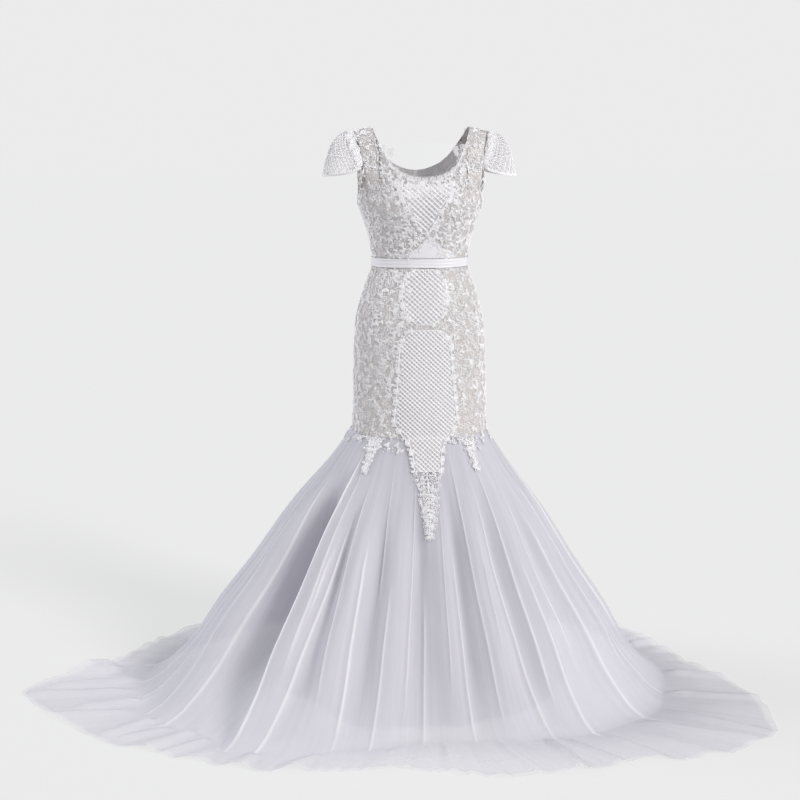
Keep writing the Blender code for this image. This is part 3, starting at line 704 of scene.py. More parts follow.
def gathers(angle, down):
    """Where the net doubles over itself along a crease, which also places the net's painted highlight: 1 on
    its crown, 0 beside it.
    """
    total = 0.0 * angle
    for i in range(len(CREASES["top"])):
        centre = CREASES["top"][i] + (CREASES["foot"][i] - CREASES["top"][i]) * np.minimum(down, 1.0)
        away = round_gap(angle, centre) / (GATHER_WIDTH * CREASES["width"][i])
        start = ease((down - CREASES["start"][i]) / CREASE_EASE)
        end = ease((CREASES["end"][i] - down) / CREASE_EASE)
        total = total + CREASES["rise"][i] / GATHER_RISE * start * end * np.exp(-away * away)
    return np.minimum(total, 1.0)


def net_cover(angle, down):
    """How much net lies over itself: less down the middle of the front and out along the hem."""
    front = np.exp(-((round_gap(angle, FRONT_MIDDLE) / FRONT_THIN) ** 2))
    return (1 - FRONT_COVER * front) * (1 - HEM_COVER * ease((down - 1.0) / HEM_REACH))


def train_lift(angle, down):
    """Low folds of the train where it lies on the floor, running out to the hem."""
    total = 0.0 * angle
    for i in range(len(TRAIN_FOLDS["angle"])):
        row = {key: column[i] for key, column in TRAIN_FOLDS.items()}
        away = round_gap(angle, row["angle"] + row["drift"] * (down - 1)) / row["width"]
        fade = ease((down - row["start"]) / 0.25) * ease((row["end"] - down) / 0.2)
        total = total + row["lift"] * fade * np.exp(-away * away)
    return total


def fan_edge(angle):
    """The steep left side of the front fan: a fold that turns in behind its crisp edge."""
    step = ease((FAN_EDGE - angle) / FAN_WALL)
    return FAN_DEPTH * step * np.exp(-(((angle - FAN_EDGE) / FAN_REACH) ** 2))


def skirt_net_point(angle, down, layer=0.0):
    """The net from the knee to the floor, down 0 to 1, and out to the hem at 2. Layer 1 lies inside."""
    turn = np.radians(angle)
    near = round_gap(angle, 0.0)
    top = ring_radius(angle, KNEE_HEIGHT) + CLOTH - LAYER_INSET * layer
    landing = smooth(HEM, "angle", "landing", near)
    hem = smooth(HEM, "angle", "hem", near)
    drop = np.minimum(down, 1.0)
    full = ease((drop - FOLD_START_DROP) / (FOLD_FULL_DROP - FOLD_START_DROP))
    full = full * (1 - FOLD_FADE * ease((drop - FOLD_FADE_DROP) / (1 - FOLD_FADE_DROP)))
    radius = top + (landing - top) * smooth(SPREAD, "drop", "reach", drop)
    radius = radius + fold_offset(angle - 1.6 * layer) * full
    radius = radius + (0.75 - layer * 0.3) * crease_offset(angle + LAYER_TURN * layer, down)
    radius = radius + fan_edge(near) * full
    radius = radius - layer * LAYER_GAP * ease(down / 0.3)
    height = (KNEE_HEIGHT - KNEE_SEAM) * (1 - drop)
    spread = np.maximum(down - 1.0, 0.0)
    ragged = 0.005 * np.sin(turn * 29 + 3 * np.sin(turn * 7))
    ragged = ragged + 0.0025 * np.sin(turn * 61 + 4 * np.sin(turn * 13))
    hem = hem + ragged * (1 + 0.6 * layer) - 0.014 * layer
    radius = radius + (hem - radius) * spread
    wave = np.maximum(np.sin(turn * 31 + 2 * np.sin(turn * 7)), 0.0)
    wave = wave + 0.2 * np.maximum(np.sin(turn * 57 + 3 * np.sin(turn * 11) + layer), 0.0)
    height = height + RUFFLE_LIFT * ease(spread) * wave * (1 - 0.4 * layer)
    height = height + (1 - 0.35 * layer) * train_lift(near, down)
    height = height + FLOOR_CLEAR * (1 - 0.5 * layer) + 0.006 * ease(down / 0.98) * (1 - spread)
    return np.stack((radius * np.sin(turn), -radius * np.cos(turn), height - SHOULDER_HEIGHT), axis=-1)


def make_net_group():
    """Fine lines of gathered net running from the knee to the hem, from a UV map in metres."""
    group, start, end = new_group(
        "gathered_net",
        [("Vector", VECTOR), ("Lines", FLOAT)],
        [("Streaks", FLOAT), ("Clouds", FLOAT)],
    )
    stretch = group.nodes.new("ShaderNodeCombineXYZ")
    parts = group.nodes.new("ShaderNodeSeparateXYZ")
    group.links.new(start.outputs["Vector"], parts.inputs[0])
    group.links.new(maths(group, "MULTIPLY", parts.outputs["X"], start.outputs["Lines"]), stretch.inputs["X"])
    group.links.new(maths(group, "MULTIPLY", parts.outputs["Y"], 1.6), stretch.inputs["Y"])
    lines = group.nodes.new("ShaderNodeTexNoise")
    lines.noise_dimensions = "2D"
    lines.inputs["Scale"].default_value = 1.0
    lines.inputs["Detail"].default_value = 5.0
    lines.inputs["Roughness"].default_value = 0.62
    group.links.new(stretch.outputs["Vector"], lines.inputs["Vector"])
    sharp = maths(group, "MULTIPLY_ADD", lines.outputs["Fac"], 3.2, -1.2, clamp=True)
    group.links.new(sharp, end.inputs["Streaks"])
    clouds = group.nodes.new("ShaderNodeTexNoise")
    clouds.noise_dimensions = "2D"
    clouds.inputs["Scale"].default_value = 3.0
    clouds.inputs["Detail"].default_value = 2.0
    group.links.new(start.outputs["Vector"], clouds.inputs["Vector"])
    group.links.new(clouds.outputs["Fac"], end.inputs["Clouds"])
    return group


gathered_net = make_net_group()


def net_material(name, colour, crest_highlight, cover, streak, lines):
    """Sheer net: how much it covers follows its gathers, and a painted highlight makes it paler along their
    crowns.
    """
    made, shader = plain_material(name, colour, 0.7)
    tree = made.node_tree
    where = tree.nodes.new("ShaderNodeUVMap")
    where.uv_map = "cloth"
    net = tree.nodes.new("ShaderNodeGroup")
    net.node_tree = gathered_net
    net.inputs["Lines"].default_value = lines
    tree.links.new(where.outputs["UV"], net.inputs["Vector"])
    thick = tree.nodes.new("ShaderNodeAttribute")
    thick.attribute_name = "cover"
    doubled_and_highlight = tree.nodes.new("ShaderNodeAttribute")
    doubled_and_highlight.attribute_name = "gather"
    alpha = maths(tree, "MULTIPLY_ADD", net.outputs["Streaks"], streak, cover)
    alpha = maths(tree, "MULTIPLY_ADD", net.outputs["Clouds"], 0.12, alpha)
    alpha = maths(tree, "MULTIPLY", alpha, thick.outputs["Fac"])
    alpha = maths(tree, "MULTIPLY_ADD", doubled_and_highlight.outputs["Fac"], 0.30, alpha, clamp=True)
    tree.links.new(alpha, shader.inputs["Alpha"])
    # Painted highlight: the net's colour turns paler where the gather mask is high, along the crease crowns.
    mix = tree.nodes.new("ShaderNodeMix")
    mix.data_type = "RGBA"
    mix.inputs[6].default_value = (*colour, 1)
    mix.inputs[7].default_value = (*crest_highlight, 1)
    tree.links.new(doubled_and_highlight.outputs["Fac"], mix.inputs[0])
    tree.links.new(mix.outputs[2], shader.inputs["Base Color"])
    shader.inputs["Specular IOR Level"].default_value = 0.1
    return made


# Painted highlight: the paler colour given to the net along the crowns of its creases.
NET_CREST_HIGHLIGHT = (0.90, 0.89, 0.92)
upper_net = net_material("soft_net_upper", (0.72, 0.71, 0.77), NET_CREST_HIGHLIGHT, 0.54, 0.10, 14.0)
under_net = net_material("soft_net_under", (0.70, 0.69, 0.755), NET_CREST_HIGHLIGHT, 0.58, 0.10, 11.0)
NET_PANELS = (
    ("tulle_front", -53.0, 46.0, (1.20, 0.95), 0.75, 4.0),
    ("tulle_left", 46.0, 150.0, (1.55, 1.15), 0.98, 2.6),
    ("tulle_back", 150.0, 226.0, (1.10, 1.10), 0.70, 2.2),
    ("tulle_right", 226.0, 307.0, (1.35, 1.20), 0.90, 3.2),
)
for name, first, last, cut, cut_area, columns_a_degree in NET_PANELS:
    for layer, layer_paint in ((0.0, upper_net), (1.0, under_net)):
        def net_uv(u, v):
            angle = first + NET_SEAM_ANGLE + (last - first - 2 * NET_SEAM_ANGLE) * u
            spread = 1 + (v - UPRIGHT_SHARE) / (1 - UPRIGHT_SHARE)
            return angle, np.where(v < UPRIGHT_SHARE, v / UPRIGHT_SHARE, spread)

        def net_place(u, v):
            return skirt_net_point(*net_uv(u, v), layer)

        def net_masks(u, v):
            angle, down = net_uv(u, v)
            # The gather mask thickens the net where it doubles and also places its painted highlight.
            return {"gather": gathers(angle + LAYER_TURN * layer, down), "cover": net_cover(angle, down)}

        columns = int((last - first) * (UNDER_NET_COLUMNS if layer else columns_a_degree))
        title = f"{name}_{'under' if layer else 'upper'}_layer"
        rows = UNDER_NET_ROWS if layer else NET_ROWS
        piece = cloth(title, columns, rows, net_place, cut, layer_paint, net_masks)
        if not layer:
            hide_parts(name)


# The lace motifs sewn over the fitted body: corded flowers, leaves and scrolls of white thread, each edged
# and filled with small glass beads. They are sewn on by hand, thick at the sides and out past the knee.
CORD_RADIUS = 0.0011
BEAD_RADIUS = 0.0021
LACE_LIFT = 0.0010
FLOWER_POINTS = 20
LEAF_POINTS = 8
FAR_SHARE = 1.35
FAR_EASE = 0.006
SEED = 7


def dressed_point(angle, level, back=False):
    """The outside of the gown at a level: the fitted body, and below the knee the net skirt."""
    upper = gown_point(angle, np.maximum(level, KNEE_HEIGHT), back)
    down = np.maximum(KNEE_HEIGHT - level, 0.0) / KNEE_HEIGHT
    lower = skirt_net_point(angle + (180 if back else 0), down)
    return np.where((level >= KNEE_HEIGHT)[..., None], upper, lower)


def wrap(point, u, v, across, up, out, step_u=0.5, step_v=0.002):
    """Flat motif offsets in metres, wrapped on a surface around places (u, v) and moved out."""
    along_u = (point(u + step_u, v) - point(u - step_u, v)) / (2 * step_u)
    along_v = (point(u, v + step_v) - point(u, v - step_v)) / (2 * step_v)
    normal = np.cross(along_u, along_v)
    level = np.cross((0.0, 0.0, 1.0), normal)
    level /= np.maximum(np.linalg.norm(level, axis=-1, keepdims=True), 1e-9)
    rise = np.cross(normal, level)
    rise /= np.maximum(np.linalg.norm(rise, axis=-1, keepdims=True), 1e-12)
    move = np.asarray(across)[..., None] * level + np.asarray(up)[..., None] * rise
    pairs = ((along_u, along_u), (along_u, along_v), (along_v, along_v))
    uu, uv, vv = (np.sum(a * b, axis=-1) for a, b in pairs)
    mu, mv = np.sum(along_u * move, axis=-1), np.sum(along_v * move, axis=-1)
    spread = np.maximum(uu * vv - uv * uv, 1e-12)
    u = u + (vv * mu - uv * mv) / spread
    v = v + (uu * mv - uv * mu) / spread
    return lifted(point, u, v, out + 0 * u, step_u=step_u / 2, step_v=step_v / 2)


def cord_mesh(name, lines, radius):
    """Thin four-sided cords along lines of points, as one mesh."""
    curve = bpy.data.curves.new(name, "CURVE")
    curve.dimensions = "3D"
    curve.bevel_depth = radius
    curve.bevel_resolution = 0
    for line, closed in lines:
        spline = curve.splines.new("POLY")
        spline.points.add(len(line) - 1)
        spline.points.foreach_set("co", np.c_[line, np.ones(len(line))].ravel())
        spline.use_cyclic_u = closed
    holder = bpy.data.objects.new(name, curve)
    scene.collection.objects.link(holder)
    made = bpy.data.meshes.new_from_object(holder.evaluated_get(bpy.context.evaluated_depsgraph_get()))
    bpy.data.objects.remove(holder)
    return made


def bead_mesh(name, centres, normals, sizes):
    """Small flattened beads with their holes along the cloth, as one mesh."""
    shape = bmesh.new()
    bmesh.ops.create_uvsphere(shape, u_segments=4, v_segments=2, radius=1)
    corners = np.array([corner.co for corner in shape.verts])
    faces = [[corner.index for corner in face.verts] for face in shape.faces]
    shape.free()
    side = np.cross(normals, (0.0, 0.0, 1.0)) + (1e-6, 0, 0)
    side /= np.linalg.norm(side, axis=1, keepdims=True)
    up = np.cross(side, normals)
    frame_axes = np.stack((side, up, normals * 0.8), axis=1)
    points = centres[:, None] + np.einsum("kc,ncd->nkd", corners, frame_axes) * sizes[:, None, None]
    count = len(corners)
    all_faces = [[i + n * count for i in face] for n in range(len(centres)) for face in faces]
    made = bpy.data.meshes.new(name)
    made.from_pydata(points.reshape(-1, 3).tolist(), [], all_faces)
    return made


def joined_piece(name, meshes, paint):
    """One object from several meshes, smooth and riding on the gown."""
    shape = bmesh.new()
    for part in meshes:
        shape.from_mesh(part)
        bpy.data.meshes.remove(part)
    for face in shape.faces:
        face.smooth = True
    made = bpy.data.meshes.new(name)
    shape.to_mesh(made)
    shape.free()
    made.materials.clear()
    made.materials.append(paint)
    piece = bpy.data.objects.new(name, made)
    scene.collection.objects.link(piece)
    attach(piece, "root")
    return piece


class Motifs:
    """Corded motifs and beads gathered in flat metres round places on one surface."""

    def __init__(self, point, seed, step_u=0.5, step_v=0.002, base=CLOTH):
        self.point = point
        self.steps = (step_u, step_v)
        self.base = base
        self.dice = np.random.default_rng(seed)
        self.lines = []
        self.beads = []

    def line(self, u, v, across, up, closed=False):
        count = len(across)
        self.lines.append((np.full(count, float(u)), np.full(count, float(v)), across, up, closed))

    def trace(self, u, v, closed=False):
        """A cord through places of the surface itself."""
        self.lines.append((u, v, 0 * u, 0 * u, closed))

    def bead(self, u, v, across, up, size=1.0):
        self.beads.append((u, v, across, up, size))

    def flower(self, u, v, radius, petals=5):
        turn = self.dice.uniform(0, math.tau)
        around = np.linspace(0, math.tau, FLOWER_POINTS, endpoint=False)
        reach = radius * (0.52 + 0.48 * np.abs(np.cos(around * petals / 2)) ** 0.7)
        self.line(u, v, reach * np.cos(around + turn), reach * np.sin(around + turn), True)
        self.bead(u, v, 0, 0, 1.5)
        for i in range(petals):
            at = turn + math.tau * i / petals
            self.bead(u, v, radius * 0.5 * math.cos(at), radius * 0.5 * math.sin(at), 0.9)

    def leaf(self, u, v, across, up, length, heading):
        way = np.linspace(0, math.tau, LEAF_POINTS, endpoint=False)
        along = length * 0.5 * (1 - np.cos(way))
        aside = length * 0.26 * np.sin(way) * (1 - 0.3 * np.cos(way))
        x = across + along * math.cos(heading) - aside * math.sin(heading)
        y = up + along * math.sin(heading) + aside * math.cos(heading)
        self.line(u, v, x, y, True)
        middle = length * 0.55
        self.bead(u, v, across + middle * math.cos(heading), up + middle * math.sin(heading), 0.9)

    def scroll(self, u, v, length, heading, curl):
        """A stem that curls at its end, with leaves beside it and beads along it."""
        share = np.linspace(0, 1, 14)
        bend = heading + curl * share**2.2
        step = length / 13 * (1 - 0.55 * share)
        x = np.cumsum(step * np.cos(bend)) - length * 0.35 * math.cos(heading)
        y = np.cumsum(step * np.sin(bend)) - length * 0.35 * math.sin(heading)
        self.line(u, v, x, y)
        for i in range(2, 13, 3):
            side = 1 if i % 2 else -1
            self.leaf(u, v, x[i], y[i], length * 0.20, bend[i] + side * 0.9)
        for i in range(1, 14, 2):
            self.bead(u, v, x[i], y[i], 1.0)

    def piece(self, name, paint, radius=CORD_RADIUS, bead=BEAD_RADIUS, lift=LACE_LIFT):
        """All the motifs as one object on the cloth."""
        u, v, across, up = (np.concatenate([line[i] for line in self.lines]) for i in range(4))
        out = self.base + lift
        points, _ = wrap(self.point, u, v, across, up, out, *self.steps)
        ends = np.cumsum([len(line[0]) for line in self.lines])
        far = np.linalg.norm(points - self.point(u, v), axis=1) > FAR_SHARE * np.hypot(across, up) + FAR_EASE
        cut = [
            (line, form[4])
            for line, form, away in zip(*(np.split(points, ends[:-1]), self.lines, np.split(far, ends[:-1])))
            if not away.any()
        ]
        meshes = [cord_mesh(name, cut, radius)]
        if self.beads:
            rows = np.array(self.beads, float)
            centres, normals = wrap(self.point, *rows[:, :4].T, out, *self.steps)
            away = np.linalg.norm(centres - self.point(rows[:, 0], rows[:, 1]), axis=1)
            near = away < FAR_SHARE * np.hypot(rows[:, 2], rows[:, 3]) + FAR_EASE
            rows, centres, normals = rows[near], centres[near], normals[near]
            meshes.append(bead_mesh(name, centres + normals * 0.0005, normals, rows[:, 4] * bead))
        return joined_piece(name, meshes, paint)


thread_lace, thread_shader = plain_material("white_thread_and_beads", (0.94, 0.93, 0.95), 0.30)
thread_shader.inputs["Specular IOR Level"].default_value = 0.6


def scatter(motifs, angles, levels, spacing, keep):
    """Flowers, scrolls, leaves and loose beads spread over a stretch of cloth, close but uneven."""
    dice = motifs.dice
    rows = max(int((levels[1] - levels[0]) / spacing), 1)
    for row in range(rows + 1):
        level = levels[0] + (row + 0.5) * (levels[1] - levels[0]) / (rows + 1)
        radius = 0.15
        columns = max(int(math.radians(angles[1] - angles[0]) * radius / spacing), 1)
        for column in range(columns + 1):
            angle = angles[0] + (column + 0.5 * (row % 2) + 0.25) * (angles[1] - angles[0]) / (columns + 1)
            u = angle + dice.uniform(-0.28, 0.28) * (angles[1] - angles[0]) / columns
            v = level + dice.uniform(-0.28, 0.28) * spacing
            density = keep(u, v)
            if u < angles[0] + 2 or u > angles[1] - 2 or dice.uniform() > density:
                continue
            kind = dice.uniform()
            if kind < 0.42:
                size = dice.uniform(0.34, 0.50) * spacing
                motifs.flower(u, v, size, 5 if dice.uniform() < 0.6 else 6)
                start = dice.uniform(0, math.tau)
                for i in range(3):
                    heading = start + math.tau * i / 3 + dice.uniform(-0.3, 0.3)
                    at = size * 1.08
                    x, y = at * math.cos(heading), at * math.sin(heading)
                    motifs.leaf(u, v, x, y, size * 0.8, heading)
            elif kind < 0.85:
                curl = dice.choice((-1, 1)) * dice.uniform(1.8, 3.6)
                motifs.scroll(u, v, spacing * dice.uniform(1.4, 2.1), dice.uniform(0, math.tau), curl)
            else:
                for i in range(3):
                    heading = dice.uniform(0, math.tau)
                    motifs.leaf(u, v, 0, 0, spacing * 0.5, heading)
            for i in range(5):
                x, y = dice.uniform(-0.55, 0.55, 2) * spacing
                motifs.bead(u, v, x, y, dice.uniform(0.5, 1.0))


BUST_LATTICE = table(
    "height half_width",
    (1.214, 0.006),
    (1.226, 0.014),
    (1.262, 0.033),
    (1.300, 0.052),
    (1.322, 0.062),
    (1.334, 0.062),
)
MEDALLION = table(
    "height half_width",
    (0.986, 0.020),
    (0.998, 0.038),
    (1.018, 0.051),
    (1.055, 0.057),
    (1.090, 0.052),
    (1.110, 0.040),
    (1.122, 0.024),
)
SHIELD = table(
    "height half_width",
    (0.622, 0.034),
    (0.660, 0.036),
    (0.690, 0.044),
    (0.710, 0.062),
    (0.740, 0.080),
    (0.790, 0.074),
    (0.860, 0.068),
    (0.930, 0.064),
    (0.960, 0.052),
    (0.972, 0.036),
)
LATTICE_EDGE = 0.003
MOTIF_MARGIN = 0.4
BODICE_LEVELS = (1.152, 1.418)
BODICE_SPACING = 0.021
SKIRT_LEVELS = (0.672, 1.124)
SKIRT_SPACING = 0.024
GORE_SHIFT = 0.012


def lattice_half(outline, height):
    """Half the width of a lattice panel at a height, and nothing outside it."""
    half = np.interp(height, outline["height"], outline["half_width"])
    inside = (height >= outline["height"][0]) & (height <= outline["height"][-1])
    return np.where(inside, half, 0.0)


def lace_density(side):
    """How close the lace lies at a place: thick at the sides, none on the lattices and the satin gore."""

    def density(angle, level):
        x = 0.14 * math.sin(math.radians(angle))
        if side == "front":
            for outline in (BUST_LATTICE, MEDALLION, SHIELD):
                half = float(lattice_half(outline, np.array(level)))
                if half and abs(x) < half + 0.004:
                    return 0.0
            if level < 1.205 and abs(x - GORE_SHIFT) < 0.008 + 1.1 * max(1.195 - level, 0.0):
                return 0.0 if level > 1.14 else 0.9
        if level < KNEE_HEIGHT:
            return 0.55
        if level > BUST_HEIGHT:
            return 1.0
        if level > 1.14:
            return 0.92
        if level > 0.80:
            return 0.9
        return 0.62
    return density


for side, back, start, end in BODY_PANELS:
    def point(angle, level, back=back):
        return dressed_point(angle, level, back)

    low, high = (start + MOTIF_MARGIN, end - MOTIF_MARGIN)
    upper = Motifs(point, SEED + len(side))
    scatter(upper, (low, high), BODICE_LEVELS, BODICE_SPACING, lace_density(side))
    piece = upper.piece(f"bodice_{side}_motifs", thread_lace)
    lower = Motifs(point, SEED + 20 + len(side))
    scatter(lower, (low, high), SKIRT_LEVELS, SKIRT_SPACING, lace_density(side))
    piece = lower.piece(f"skirt_{side}_motifs", thread_lace)


# The three lattice panels down the middle of the front: a V between the cups, a rounded medallion below
# the belt and a long shield to the knee. Beaded cords cross on a satin ground, darkened as painted shade
# between the cords, inside a thick cord edge.
def front_sheet(x, height):
    """The front of the gown at a place across it, over the body and over the net below the knee."""
    x = np.asarray(x, float) + 0 * height
    upper = chest_point(x, np.maximum(height, KNEE_HEIGHT))
    down = np.maximum(KNEE_HEIGHT - height, 0.0) / KNEE_HEIGHT
    angle = 0 * x
    for _ in range(5):
        radius = np.hypot(*np.moveaxis(skirt_net_point(angle, down)[..., :2], -1, 0))
        angle = np.degrees(np.arcsin(np.clip(x / radius, -0.99, 0.99)))
    lower = skirt_net_point(angle, down)
    return np.where((height >= KNEE_HEIGHT)[..., None], upper, lower)


def lattice(motifs, outline, pitch, slope):
    """Crossing beaded cords inside an outline, and the cords and beads along its edge."""
    low, high = outline["height"][0], outline["height"][-1]
    middle = (low + high) / 2
    reach = int(((high - low) * slope / 2 + outline["half_width"].max()) / pitch) + 1
    heights = np.arange(low, high + 0.001, 0.004)
    half = lattice_half(outline, heights) - LATTICE_EDGE
    for k in range(-reach, reach + 1):
        for direction in (1, -1):
            x = k * pitch + direction * slope * (heights - middle)
            inside = np.abs(x) < half
            runs = np.split(np.arange(len(heights)), np.flatnonzero(np.diff(inside)) + 1)
            for run in runs:
                if inside[run[0]] and len(run) > 1:
                    motifs.trace(x[run], heights[run])
                    if direction < 0:
                        motifs.trace(x[run] + 0.0016, heights[run])
        for m in range(-reach, reach + 1):
            rise = (m - k) * pitch / (2 * slope)
            across = (k + m) * pitch / 2
            if abs(across) < float(lattice_half(outline, np.array(middle + rise))) - LATTICE_EDGE:
                motifs.bead(across, middle + rise, 0, 0, 1.25)
    count = int((high - low) / 0.005)
    rise = np.linspace(low, high, count)
    width = lattice_half(outline, rise)
    ring_x = np.r_[width, -width[::-1]]
    ring_height = np.r_[rise, rise[::-1]]
    motifs.trace(ring_x, ring_height, True)
    for i, (x, height) in enumerate(zip(ring_x, ring_height)):
        motifs.bead(x, height, 0, 0, 0.95)
        outward = (0 if x > 0 else math.pi) + (1 if x > 0 else -1) * motifs.dice.uniform(-1.0, 0.7)
        if i % 2:
            motifs.leaf(x, height, 0, 0, motifs.dice.uniform(0.007, 0.011), outward)
        if i % 5 == 0:
            side = 0.006 if x > 0 else -0.006
            motifs.flower(x, height, 0.0072)
            motifs.bead(x, height, side, 0, 1.0)


belt_satin, belt_shader = plain_material("ribbon_satin", (0.78, 0.77, 0.81), 0.36)
belt_shader.inputs["Sheen Weight"].default_value = 0.2
# Painted shade: the lattice ground is darker than the satin to stand in for the shade between the beaded
# cords.
panel_satin_painted_shade, panel_shader = plain_material("lattice_ground_painted_shade", (0.62, 0.60, 0.63), 0.42)
LATTICES = (
    ("lace_bust", BUST_LATTICE, 0.0130, 1.05, (0.14, 0.13), 0.0100),
    ("lace_medallion", MEDALLION, 0.0130, 1.05, (0.12, 0.15), 0.0136),
    ("lace_shield", SHIELD, 0.0118, 1.05, (0.17, 0.37), 0.0450),
)
for name, outline, pitch, slope, cut, cut_area in LATTICES:
    def ground_place(u, v):
        height = outline["height"][0] + (outline["height"][-1] - outline["height"][0]) * v
        x = (2 * u - 1) * lattice_half(outline, height)
        return lifted(front_sheet, x, height, CLOTH + 0.0007 + 0 * u, 0.001, 0.001)[0]

    ground = cloth(f"{name}_ground", 14, 24, ground_place, cut, panel_satin_painted_shade)
    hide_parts(name)
    net = Motifs(front_sheet, SEED, 0.002, 0.002)
    lattice(net, outline, pitch, slope)
    cords = net.piece(f"{name}_cords", thread_lace, 0.0012, 0.0024, 0.0016)


# The plain gore above the belt: a small fan of smooth satin under the point of the V, let into the lace of
# the bodice and pressed flat.
GORE = table(
    "height half_width",
    (1.1505, 0.082),
    (1.158, 0.066),
    (1.170, 0.040),
    (1.184, 0.020),
    (1.200, 0.008),
)


def gore_place(u, v):
    """The fan from the belt up to its point, a little to the wearer's left."""
    height = GORE["height"][0] + (GORE["height"][-1] - GORE["height"][0]) * v
    x = (2 * u - 1) * lattice_half(GORE, height) + GORE_SHIFT
    return lifted(front_sheet, x, height, CLOTH + 0.0006 + 0 * u, 0.001, 0.001)[0]


gore = cloth("satin_gore", 20, 14, gore_place, (0.17, 0.05), belt_satin)


# The lace tails on the net: a long pointed spray below the shield and a small one at each side of the
# front. They are cut-out floral lace, beaded like the rest, and sewn flat on the upper net.
TAILS = (
    ("lace_tail_front", 0.0, 0.622, 0.468, 0.034, 0.004),
    ("lace_tail_left", 39.0, 0.700, 0.622, 0.018, 0.003),
    ("lace_tail_right", -46.0, 0.700, 0.622, 0.018, 0.003),
)
for name, middle, head, foot, head_half, foot_half in TAILS:
    def tail_sheet(u, v):
        down = (KNEE_HEIGHT - v) / KNEE_HEIGHT
        radius = np.hypot(*np.moveaxis(skirt_net_point(middle + 0 * v, down)[..., :2], -1, 0))
        return skirt_net_point(middle + np.degrees(u / radius), down)

    spray = Motifs(tail_sheet, SEED + int(head * 100), 0.002, 0.002)
    dice = spray.dice
    steps = int((head - foot) / 0.0085)
    sway = np.linspace(foot, head, steps)
    spray.trace(0.002 * np.sin(sway * 90), sway)
    for i, height in enumerate(sway):
        half = foot_half + (head_half - foot_half) * i / (steps - 1)
        half = half * (0.82 + 0.3 * dice.uniform())
        for side in (-1, 1):
            heading = math.pi / 2 - side * (2.0 + dice.uniform())
            spray.leaf(0, height, side * 0.002, 0, 0.5 * half + 0.006, heading)
            if half > 0.009 and i % 2:
                spray.flower(side * half * 0.62, height, min(0.0095, half * 0.5))
            spray.leaf(side * half * 0.8, height, 0, 0, 0.010, math.pi / 2 - side * dice.uniform(0.2, 2.6))
            spray.leaf(side * half * 0.3, height, 0, 0, 0.011, dice.uniform(0, math.tau))
            spray.bead(side * half, height, 0, 0, 1.1)
            spray.bead(side * half * 0.4, height, 0, 0.004, 0.8)
        spray.bead(0, height, 0, 0, 1.1)
    piece = spray.piece(f"{name}_spray", thread_lace, 0.0009, 0.0015, 0.0012)
    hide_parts(name)


# The ribbon belt: a narrow satin ribbon laid round the waist seam in fine creases and closed at the back.
# It is folded over itself once, to the wearer's right of the middle of the front.
BELT_LOW = 1.126
BELT_HIGH = 1.149
BELT_LAP = -27.0


def belt_place(u, v):
    """The ribbon's outside, round from the middle of the back."""
    angle = -180 + SEAM_ANGLE + (360 - 2 * SEAM_ANGLE) * u
    height = BELT_LOW + (BELT_HIGH - BELT_LOW) * v
    crease = 0.0006 * np.sin(v * 17 + 1.4 * np.sin(np.radians(angle) * 3))
    crease = crease + 0.0004 * np.sin(v * 31 + np.sin(np.radians(angle) * 5 + 1))
    lap = 0.0010 * ease((angle - BELT_LAP) / 1.5) * ease((angle - BELT_LAP - 40) / -30)
    out = CLOTH + 0.0030 + crease + lap + 0.0005 * np.sin(np.pi * v)
    return lifted(gown_point, angle, height, out, 0.3, 0.001)[0]


belt = cloth("belt_ribbon", 260, 10, belt_place, (0.70, 0.024), belt_satin)
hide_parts("waist_belt")


# The sheer yoke: one piece of fine net between the straps, from the scooped neckline up to a straight
# free edge. Two small lace points and a beaded edging of leaves are sewn to it along the neckline.
YOKE_TOP = 1.432
YOKE_HALF_WIDTH = 0.1045
EDGE_GAP = 0.0008
NECK_EDGE_X = TOP_FRONT["half_width"][:8]
NECK_EDGE_HEIGHT = TOP_FRONT["height"][:8]
yoke_net, yoke_shader = plain_material("yoke_net", (0.86, 0.87, 0.90), 0.6)
yoke_shader.inputs["Alpha"].default_value = 0.16
yoke_shader.inputs["Specular IOR Level"].default_value = 0.1


def yoke_place(u, v):
    """The net from the neckline up to its free edge."""
    x = YOKE_HALF_WIDTH * (2 * u - 1)
    foot = EDGE_GAP + np.interp(np.abs(x) + EDGE_GAP, NECK_EDGE_X, NECK_EDGE_HEIGHT)
    return lifted(chest_point, x, foot + (YOKE_TOP - foot) * v, 0.001 + 0 * u, 0.0005, 0.0005)[0]


yoke = cloth("yoke_net_sheet", 60, 24, yoke_place, (0.22, 0.10), yoke_net)
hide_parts("neck_net")

edging = Motifs(chest_point, SEED, 0.002, 0.001, 0.0012)
for i in range(53):
    x = -0.112 + 0.224 * i / 52
    height = float(np.interp(abs(x), NECK_EDGE_X, NECK_EDGE_HEIGHT))
    edging.leaf(x, height, 0, -0.002, 0.0125 - 0.003 * (i % 2), math.pi / 2 - x * 6)
    edging.bead(x, height, 0, 0, 1.1)
    if i % 4 == 2:
        edging.flower(x, height, 0.0075)
edge_x = np.linspace(-0.118, 0.118, 90)
edging.trace(edge_x, np.interp(np.abs(edge_x), NECK_EDGE_X, NECK_EDGE_HEIGHT))
trim = edging.piece("neckline_edging", thread_lace, 0.0008, 0.0014)
for side, name in ((1, "lace_neck_left"), (-1, "lace_neck_right")):
    points = Motifs(chest_point, SEED + side, 0.002, 0.001, 0.0012)
    points.flower(side * 0.089, 1.412, 0.0085)
    points.flower(side * 0.097, 1.424, 0.0070)
    points.flower(side * 0.098, 1.402, 0.0075)
    for i in range(7):
        heading = (math.pi if side > 0 else 0) + 0.38 * (i - 3)
        points.leaf(side * 0.088, 1.412, 0.006 * math.cos(heading), 0.006 * math.sin(heading), 0.010, heading)
        points.bead(side * 0.088, 1.412, 0.014 * math.cos(heading), 0.014 * math.sin(heading), 1.0)
    piece = points.piece(f"{name}_points", thread_lace, 0.0007, 0.0013)
    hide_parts(name)


